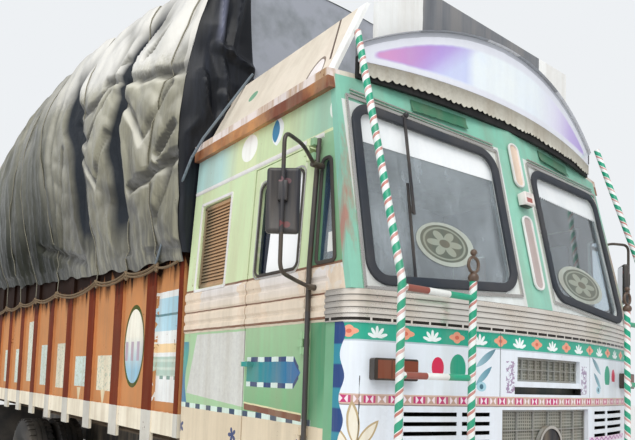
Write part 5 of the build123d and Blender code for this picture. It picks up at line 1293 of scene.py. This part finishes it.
GROOVES = [
    ([(-0.89, 3.93), (-1.27, 3.80), (-1.66, 3.67), (-1.89, 3.63), (-2.07, 3.575), (-2.30, 3.53)], 0.05,
     0.040),
    ([(-1.49, 2.91), (-1.85, 2.93), (-2.13, 2.96), (-2.30, 2.96)], 0.045, 0.060),
    ([(-1.98, 3.02), (-2.20, 3.17)], 0.035, 0.050),
    ([(-1.59, 3.88), (-1.70, 3.94), (-1.85, 4.00)], 0.050, 0.060),
    ([(-0.10, 4.04), (-0.54, 3.75), (-0.88, 3.80), (-1.20, 4.02)], 0.045, 0.035),
    ([(-0.14, 3.83), (-0.67, 3.47), (-0.84, 3.58), (-1.15, 3.80)], 0.045, 0.035),
    ([(-0.45, 3.50), (-0.85, 3.10), (-1.12, 3.42)], 0.040, 0.030),
    ([(-1.45, 3.55), (-1.75, 3.20), (-2.10, 3.48)], 0.045, 0.030),
    ([(-1.95, 2.62), (-2.05, 2.78), (-2.16, 2.95)], 0.060, 0.040),
    ([(0.30, 2.70), (0.15, 3.10), (0.02, 3.60)], 0.060, 0.030),
    ([(0.99, 2.86), (0.36, 2.70), (-0.40, 2.54)], 0.055, 0.050),
    ([(-1.72, 2.42), (-2.06, 2.40), (-2.30, 2.39)], 0.035, 0.040),
]


def arc(start, middle, end, count):
    """Points along the circle through three points."""
    (ax, ay), (bx, by), (cx, cy) = start, middle, end
    d = 2 * (ax * (by - cy) + bx * (cy - ay) + cx * (ay - by))
    sa, sb, sc = ax * ax + ay * ay, bx * bx + by * by, cx * cx + cy * cy
    ux = (sa * (by - cy) + sb * (cy - ay) + sc * (ay - by)) / d
    uy = (sa * (cx - bx) + sb * (ax - cx) + sc * (bx - ax)) / d
    turns = np.unwrap([math.atan2(y - uy, x - ux) for x, y in (start, middle, end)])
    angles = np.linspace(turns[0], turns[2], count)
    r = math.hypot(ax - ux, ay - uy)
    return np.column_stack([ux + r * np.cos(angles), uy + r * np.sin(angles)])


def cover_profile(y, count):
    """The cover's half section at y, from its hem to the ridge, in even steps."""
    hem, bulge, bulge_z, top = (np.interp(y, COVER[:, 0], COVER[:, k]) for k in (1, 2, 3, 4))
    foot = (1.2175, hem)
    side = (bulge, bulge_z)
    shoulder = (bulge * 0.80, top - 0.11)
    line = np.vstack([
        arc(foot, ((foot[0] + bulge) / 2 + 0.022, (hem + bulge_z) / 2), side, 30),
        arc(side, (bulge * 0.962, bulge_z + (top - bulge_z) * 0.6), shoulder, 40)[1:],
        arc(shoulder, (0, top), (-shoulder[0], shoulder[1]), 61)[1:31],
    ])
    run = np.concatenate([[0], np.cumsum(np.linalg.norm(np.diff(line, axis=0), axis=1))])
    even = np.linspace(0, run[-1], count)
    return np.column_stack([np.interp(even, run, line[:, 0]), np.interp(even, run, line[:, 1])]), run[-1]


def grain(y, z, w):
    """Smooth noise at many places at once."""
    return np.array([noise.noise(place) for place in zip(y, z, w)])


def facets(y, z, w):
    """Flat facets with sharp borders, as in crumpled sheet."""
    return np.array([noise.voronoi(place)[0][0] for place in zip(y, z, w)])


def beside(line, y, z):
    """Distance of every place from a line drawn on the cover's side."""
    best = np.full(y.shape, 9.0)
    for (y0, z0), (y1, z1) in zip(line, line[1:]):
        dy, dz = y1 - y0, z1 - z0
        share = np.clip(((y - y0) * dy + (z - z0) * dz) / (dy * dy + dz * dz), 0, 1)
        best = np.minimum(best, np.hypot(y - y0 - share * dy, z - z0 - share * dz))
    return best


def station_of(line, z):
    """The y of an upright line at height z."""
    return np.interp(z, [point[0] for point in line], [point[1] for point in line])


ACROSS, ALONG = 140, 340
COVER_FRONT, COVER_REAR = -2.270, 4.232
HALF_GIRTH, COVERED = 3.9, 6.5
bpy.ops.object.select_all(action="DESELECT")
bpy.ops.mesh.primitive_grid_add(x_subdivisions=2 * ACROSS, y_subdivisions=ALONG, size=2)
cover = bpy.context.object
stations = np.linspace(COVER_FRONT, COVER_REAR, ALONG + 1)
profiles = [cover_profile(y, ACROSS + 1) for y in stations]
sections = np.array([line for line, _ in profiles])
places = np.empty((len(cover.data.vertices), 3))
cover.data.vertices.foreach_get("co", places.ravel())
columns = np.rint((places[:, 0] + 1) * ACROSS).astype(int)
rows = np.rint((places[:, 1] + 1) / 2 * ALONG).astype(int)
side = np.where(columns < ACROSS, -1.0, 1.0)
leaning = np.clip((columns - ACROSS) / ACROSS * 1.8, -1, 1)
over_ridge = 1.2 * leaning + 1.2
steps = ACROSS - np.abs(columns - ACROSS)
y = stations[rows]
length = np.array([run for _, run in profiles])[rows]
up = steps / ACROSS * length
x, z = sections[rows, steps].T
dx, dz = (sections[rows, np.minimum(steps + 1, ACROSS)] - sections[rows, np.maximum(steps - 1, 0)]).T
size = np.hypot(dx, dz)
over = np.clip(1 - (length - up) / 1.1, 0, 1)
rear = np.clip((y + 0.1) / 0.8, 0, 1)
shaky_y = y + 0.10 * grain(y * 1.7, z * 1.7, over_ridge - 4.0)
shaky_z = z + 0.12 * grain(y * 1.9 + 7, z * 1.9, over_ridge - 4.0)
sags = 0.045 * grain(y * 1.1, z * 0.55, over_ridge - 7.1)
pleats = 1 - 2 * np.abs(grain(shaky_y * (2.2 + 2.6 * rear), shaky_z * 0.35, over_ridge - 5.0))
crumples = 0.050 * (facets(shaky_y * 2.3, shaky_z * 1.7, over_ridge - 9.0) - 0.45)
small = 0.026 * (facets(shaky_y * 5.2 + 3, shaky_z * 4.4, over_ridge - 3.0) - 0.40)
creased = (0.014 + 0.024 * rear) * pleats - (1 - 0.55 * rear) * (crumples + small)
for line, width, depth in GROOVES:
    creased -= depth * np.clip(1 - beside(line, y, z) / width, 0, 1)
deep = np.zeros(y.shape)
for line, half in DEEP_FOLDS:
    from_fold = station_of(line, z)
    uneven = grain(np.full(y.shape, half * 40), z * 2.6, leaning * 2.0 + np.sign(y - from_fold))
    reach = np.clip((1 - np.abs(shaky_y - from_fold) / (half * (1 + 0.75 * uneven))) * 2.4, 0, 1)
    below_top = np.clip((line[-1][0] + 0.15 - z) * 2.5, 0, 1)
    deep = np.maximum(deep, reach * below_top * np.clip(up * 3 - 0.5, 0, 1))
tied = np.zeros(y.shape)
for line in ROPES:
    away = (y - station_of(line, z)) / 0.05
    tied += 0.020 / (1 + away * away)
push = (sags + creased) * (1 - 0.5 * over) - (tied + 0.075 * deep) * (1 - 0.75 * over)
push *= np.clip(np.minimum((y - COVER_FRONT) / 0.25 + 0.35, (COVER_REAR - y) / 0.2 + 0.35), 0, 1)
push = np.where(up > 0.10, push, np.maximum(push, -0.004) * 0.6)
fringe = 0.045 * grain(y * 3.7, np.full(y.shape, 3.0), side) * np.clip(1 - up / 0.25, 0, 1)
middle_line = columns == ACROSS
places[:, 0] = np.where(middle_line, 0.0, side * (x + dz / size * push))
places[:, 1] = y
places[:, 2] = z - dx / size * push + fringe
cover.data.vertices.foreach_set("co", places.ravel())
order = np.empty((2 * ACROSS + 1, ALONG + 1), dtype=int)
order[columns, rows] = np.arange(len(places))
# Painted light and shade from the relief: folds that face up or back are lightened, folds that face down are
# darkened, and creases are darkened as shade.
relief = (creased - tied)[order]
rise_to_ridge = -np.gradient(relief, HALF_GIRTH / ACROSS, axis=0) * leaning[order]
rise_to_rear = np.gradient(relief, COVERED / ALONG, axis=1)
facing_up = np.empty(len(places))
facing_up[order] = np.clip(0.5 - 1.5 * rise_to_ridge + 0.75 * rise_to_rear, 0, 1)
hollow = np.clip((np.median(creased) - 0.006 - creased) / 0.030, 0, 1)
for title, values in (("deep", deep), ("hollow", hollow), ("facing_up", facing_up)):
    cover.data.attributes.new(title, "FLOAT", "POINT").data.foreach_set("value", values)
cover.data.update()

cover_olive, tree, p = new_finish("olive_laminated_sheet")
for title in ("deep", "hollow", "facing_up"):
    p[title] = add(tree, "Attribute", attribute_name=title).outputs["Fac"]
# Marks: dark streaks, then painted light and shade: near-white sky glare on the upper front, a darker lower
# rear, and near-black shade in the deep folds.
for mark, formula in (
    ("streak", "clip((runs - 0.40) * 3.2) * clip((4.72 - z) * 5)"
               " + clip((broad - 0.35) * 2) * clip((z - 4.52) * 5)"),
    ("sunny", "clip((z - 4.00 - 0.19 * y + 0.25 * (fine - 0.5)) * 7) * clip(0.95 - 0.75 * (y + 0.1))"
              " * clip(1.25 - hollow)"),
    ("dim", "clip((y + 0.7) * 0.7) * clip((3.75 - z) * 1.2)"),
    ("shade", "clip(deep * 1.6)"),
):
    p[mark] = worked(tree, formula, p)
p["back"] = add(tree, "NewGeometry").outputs["Backfacing"]
# Over the olive base go dark streaks, then painted light and shade: lighter upwards, darker to the rear and
# low down, light on folds that face up and dark on those that face down, a darker lower rear, glare on the
# upper front, dark creases, a pale highlight along the front edge and near-black shade in the deep folds. The
# underside is black.
colour = linear("#8f8b75")
for over_it, where in (
    ("#625e4c", "streak"),
    ("#aeaa96", "clip((z - 3.0) * 0.9) * clip((broad - 0.35) * 4) * 0.8"),
    ("#45473e", "clip((y - 0.1) * 1.1) * clip(0.35 + streak) * 0.75"),
    ("#2b2c26", "clip((2.90 - z) * 1.6) * clip((runs - 0.38) * 6) * 0.8"),
    ("#dcd8c8", "clip((facing_up - 0.56) * 2.4) * clip(1.0 - 0.35 * (y + 0.4)) * clip((z - 2.62) * 2.2)"
                " * 0.9"),
    ("#2f2c20", "clip((0.45 - facing_up) * 3.2) * 0.9"),
    ("#d9d5c0", "clip((z - 3.35) * 1.6) * clip((-0.25 - y) * 2) * clip(0.3 + facing_up) * 0.95"),
    ("#3c3f35", "clip((y + 0.1) * 1.0) * clip((4.45 - z) * 1.6) * 0.66"),
    ("#171a13", "dim * clip(1.2 - 0.5 * facing_up)"),
    ("#f1eee6", "sunny * clip(0.55 + facing_up) * 0.95"),
    ("#26241d", "hollow * 0.75"),
    ("#f0ece2", "(y < -2.20) * clip((z - 3.5) * 3) * (z < 4.4)"),
    ("#0f1822", "shade"),
    ("#17181b", "back"),
):
    colour = paint(tree, colour, over_it, worked(tree, where, p))
wrinkles = add(tree, "TexNoise", {"Vector": p["here"], "Scale": 7.0, "Detail": 5.0, "Roughness": 0.55},
               noise_type="RIDGED_MULTIFRACTAL").outputs[0]
cells = add(tree, "TexVoronoi", {"Vector": p["here"], "Scale": 13.0}).outputs["Distance"]
height = worked(tree, "wrinkles * 0.5 - cells * 0.6 + runs * 0.25",
                {**p, "wrinkles": wrinkles, "cells": cells})
lumps = add(tree, "Bump", {"Strength": 0.6, "Distance": 0.016, "Height": height}).outputs[0]
gloss = worked(tree, "clip(0.30 + 0.25 * (fine - 0.5) + 0.15 * streak + 0.4 * shade)", p)
wet = worked(tree, "0.35 - 0.35 * clip(shade + 0.9 * dim)", p)
shine = worked(tree, "0.5 - 0.4 * dim", p)
skinned(cover_olive, {"Base Color": colour, "Roughness": gloss, "Normal": lumps, "Coat Weight": wet,
                      "Coat Roughness": 0.16, "Specular IOR Level": shine})
settle(cover, "cover_sheet", cover_olive, smooth=180)
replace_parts(cover, "tarpaulin")


# Cover ends: a black sheet closes the front behind the cab and a second the rear. The front one
# is folded in sharp triangles at each corner, and its middle is a faded, pale grey.
black_sheet, tree, p = new_finish("black_laminated_sheet")
p["pale"] = worked(tree, "(a < 0.826 - 0.094 * (4.155 - z)) * (y < 0.0)", p)
colour = linear("#101319")
for over_it, where in (
    ("#262a34", "clip((runs - 0.45) * 4)"),
    # A pale lavender streak down each folded corner is a painted highlight.
    ("#7d8197", "(y < 0.0) * clip(1 - abs(a - 1.045 + 0.10 * (z - 3.9)) * 28) * clip((z - 3.72) * 8)"),
    ("#a6aab4", "pale"),
    ("#868c90", "clip((broad - 0.50) * 5) * pale"),
):
    colour = paint(tree, colour, over_it, worked(tree, where, p))
lumps = add(tree, "Bump", {"Strength": 0.35, "Distance": 0.006, "Height": p["runs"]}).outputs[0]
skinned(black_sheet, {"Base Color": colour, "Roughness": 0.42, "Normal": lumps, "Specular IOR Level": 0.28})
CORNER_FOLDS = [[(1.03, 4.40), (1.063, 3.715), (0.795, 3.667)],
                [(1.063, 3.715), (1.01, 3.53), (1.003, 3.30), (1.10, 2.9)],
                [(0.90, 4.35), (0.93, 3.95), (0.975, 3.73)], [(1.02, 3.40), (0.80, 3.15), (0.60, 2.8)],
                [(1.17, 3.50), (1.13, 3.23), (1.20, 2.95), (1.16, 2.5)]]


def end_sheet(title, y, ahead, low):
    """A sheet hung across one end, inside the edge of the cover."""
    bpy.ops.object.select_all(action="DESELECT")
    bpy.ops.mesh.primitive_grid_add(x_subdivisions=200, y_subdivisions=170, size=2)
    piece = bpy.context.object
    line, _ = cover_profile(y, 240)
    spots = np.empty((len(piece.data.vertices), 3))
    piece.data.vertices.foreach_get("co", spots.ravel())
    share = (spots[:, 1] + 1) / 2
    z = low + (line[-1, 1] - 0.012 - low) * share
    x = spots[:, 0] * (np.interp(z, line[:, 1], line[:, 0]) - 0.004)
    a = np.abs(x)
    corner = np.clip((a - 0.78) / 0.12, 0, 1)
    push = 0.035 + 0.03 * grain(x * 1.2, z * 0.8, np.full(x.shape, y))
    push += 0.075 * corner * (facets(x * 3.2, z * 2.6, np.full(x.shape, y)) - 0.2)
    push -= 0.02 * facets(x * 1.6, z * 1.1, np.full(x.shape, y + 3)) * (1 - corner)
    for fold in CORNER_FOLDS:
        push += 0.035 * np.clip(1 - beside(fold, a, z) / 0.05, 0, 1)
    push *= np.clip((1 - share) * 8 + 0.05, 0, 1) * np.clip((1 - np.abs(spots[:, 0])) * 14 + 0.03, 0, 1)
    push = np.clip(push, 0.002, 0.12)
    push = np.minimum(push, 0.018 + 0.3 * np.maximum(z - 3.10, 0))
    spots[:, 0], spots[:, 1], spots[:, 2] = x, y + ahead * push, z
    piece.data.vertices.foreach_set("co", spots.ravel())
    settle(piece, title, black_sheet, smooth=40)
    if ahead > 0:
        piece.data.flip_normals()
    return piece


end_sheet("front_cover_sheet", -2.262, -1, 2.36)
end_sheet("rear_cover_sheet", 4.205, 1, 2.50)


# Ropes: thin grey cord crosses the cover at its folds and is tied to a doubled rope of brown, laid
# jute under the hem, which sags between its knots. A thicker grey one holds each front corner.
def laid_rope(title, dark, light):
    """Twisted fibre rope: matt, with slanted strands."""
    finish, tree, p = new_finish(title)
    p["twist"] = worked(tree, "fract((y + z + x) * 60.0)", p)
    shade = paint(tree, dark, light, worked(tree, "clip(twist * 0.7 + fine * 0.6 - 0.2)", p))
    strands = add(tree, "Bump", {"Strength": 0.6, "Distance": 0.003, "Height": p["twist"]}).outputs[0]
    return skinned(finish, {"Base Color": shade, "Roughness": 0.85, "Normal": strands})


jute = laid_rope("brown_jute_rope", "#5d4a36", "#9a8465")
thin_cord = laid_rope("grey_cover_cord", "#777363", "#a5a08e")
corner_rope = laid_rope("grey_corner_rope", "#59636b", "#87929a")


def hem_z(y):
    """The height at which the ropes are tied under the hem."""
    return 2.335 + 0.012 * y


over_lines = []
for rope in ROPES:
    foot_y = rope[0][1]
    first_row = int(np.argmin(np.abs(stations - foot_y)))
    line = []
    for column in range(0, 2 * ACROSS + 1, 3):
        step = ACROSS - abs(column - ACROSS)
        row = int(np.argmin(np.abs(stations - station_of(rope, sections[first_row, step, 1]))))
        point = places[order[column, row]]
        line.append([point[0] + np.sign(point[0]) * 0.006 * min(1.0, abs(point[0])), point[1],
                     point[2] + 0.005])
    over_lines.append([[-1.226, foot_y, hem_z(foot_y)]] + line + [[1.226, foot_y, hem_z(foot_y)]])
rod_along("cover_ropes", over_lines, 0.009, thin_cord)

knot_places = [rope[0][1] for rope in ROPES]
hem_lines = []
for side in (-1, 1):
    knots = [-2.20] + knot_places + [4.18]
    line = []
    for start, stop in zip(knots, knots[1:]):
        for part in np.linspace(0, 1, 9)[:-1]:
            y = start + (stop - start) * part
            sag = 0.055 * (stop - start) * 4 * part * (1 - part)
            line.append([side * 1.228, y, hem_z(y) - sag + 0.006 * noise.noise((y * 3, side, 0))])
    line.append([side * 1.228, 4.18, 2.385])
    hem_lines.append(line)
    hem_lines.append([[x, y + 0.004, z + 0.022] for x, y, z in line[8:-8]])
rod_along("hem_ropes", hem_lines, 0.018, jute)
knot = begin("torus", major_radius=0.026, minor_radius=0.011, major_segments=18, minor_segments=8)
pick(lambda m: m.x > 0)
bpy.ops.transform.translate(value=(0, 0, 0.010))
tied_at = [Matrix.Translation((side * 1.232, y, hem_z(y))) @ Matrix.Rotation(math.radians(90), 4, "Y")
           @ Matrix.Rotation(y * 9, 4, "Z") for side in (-1, 1) for y in knot_places]
settle(copied(knot, tied_at), "rope_knots", jute, smooth=60)
CORNER_LINE = [(0.855, -2.400, 3.575), (1.028, -2.404, 3.306), (1.187, -2.404, 3.055), (1.238, -2.36, 2.93),
               (1.262, -2.20, 2.70), (1.234, -1.879, 2.335)]
rod_along("corner_ropes", [[[side * x, y, z] for x, y, z in CORNER_LINE] for side in (-1, 1)], 0.017,
          corner_rope)
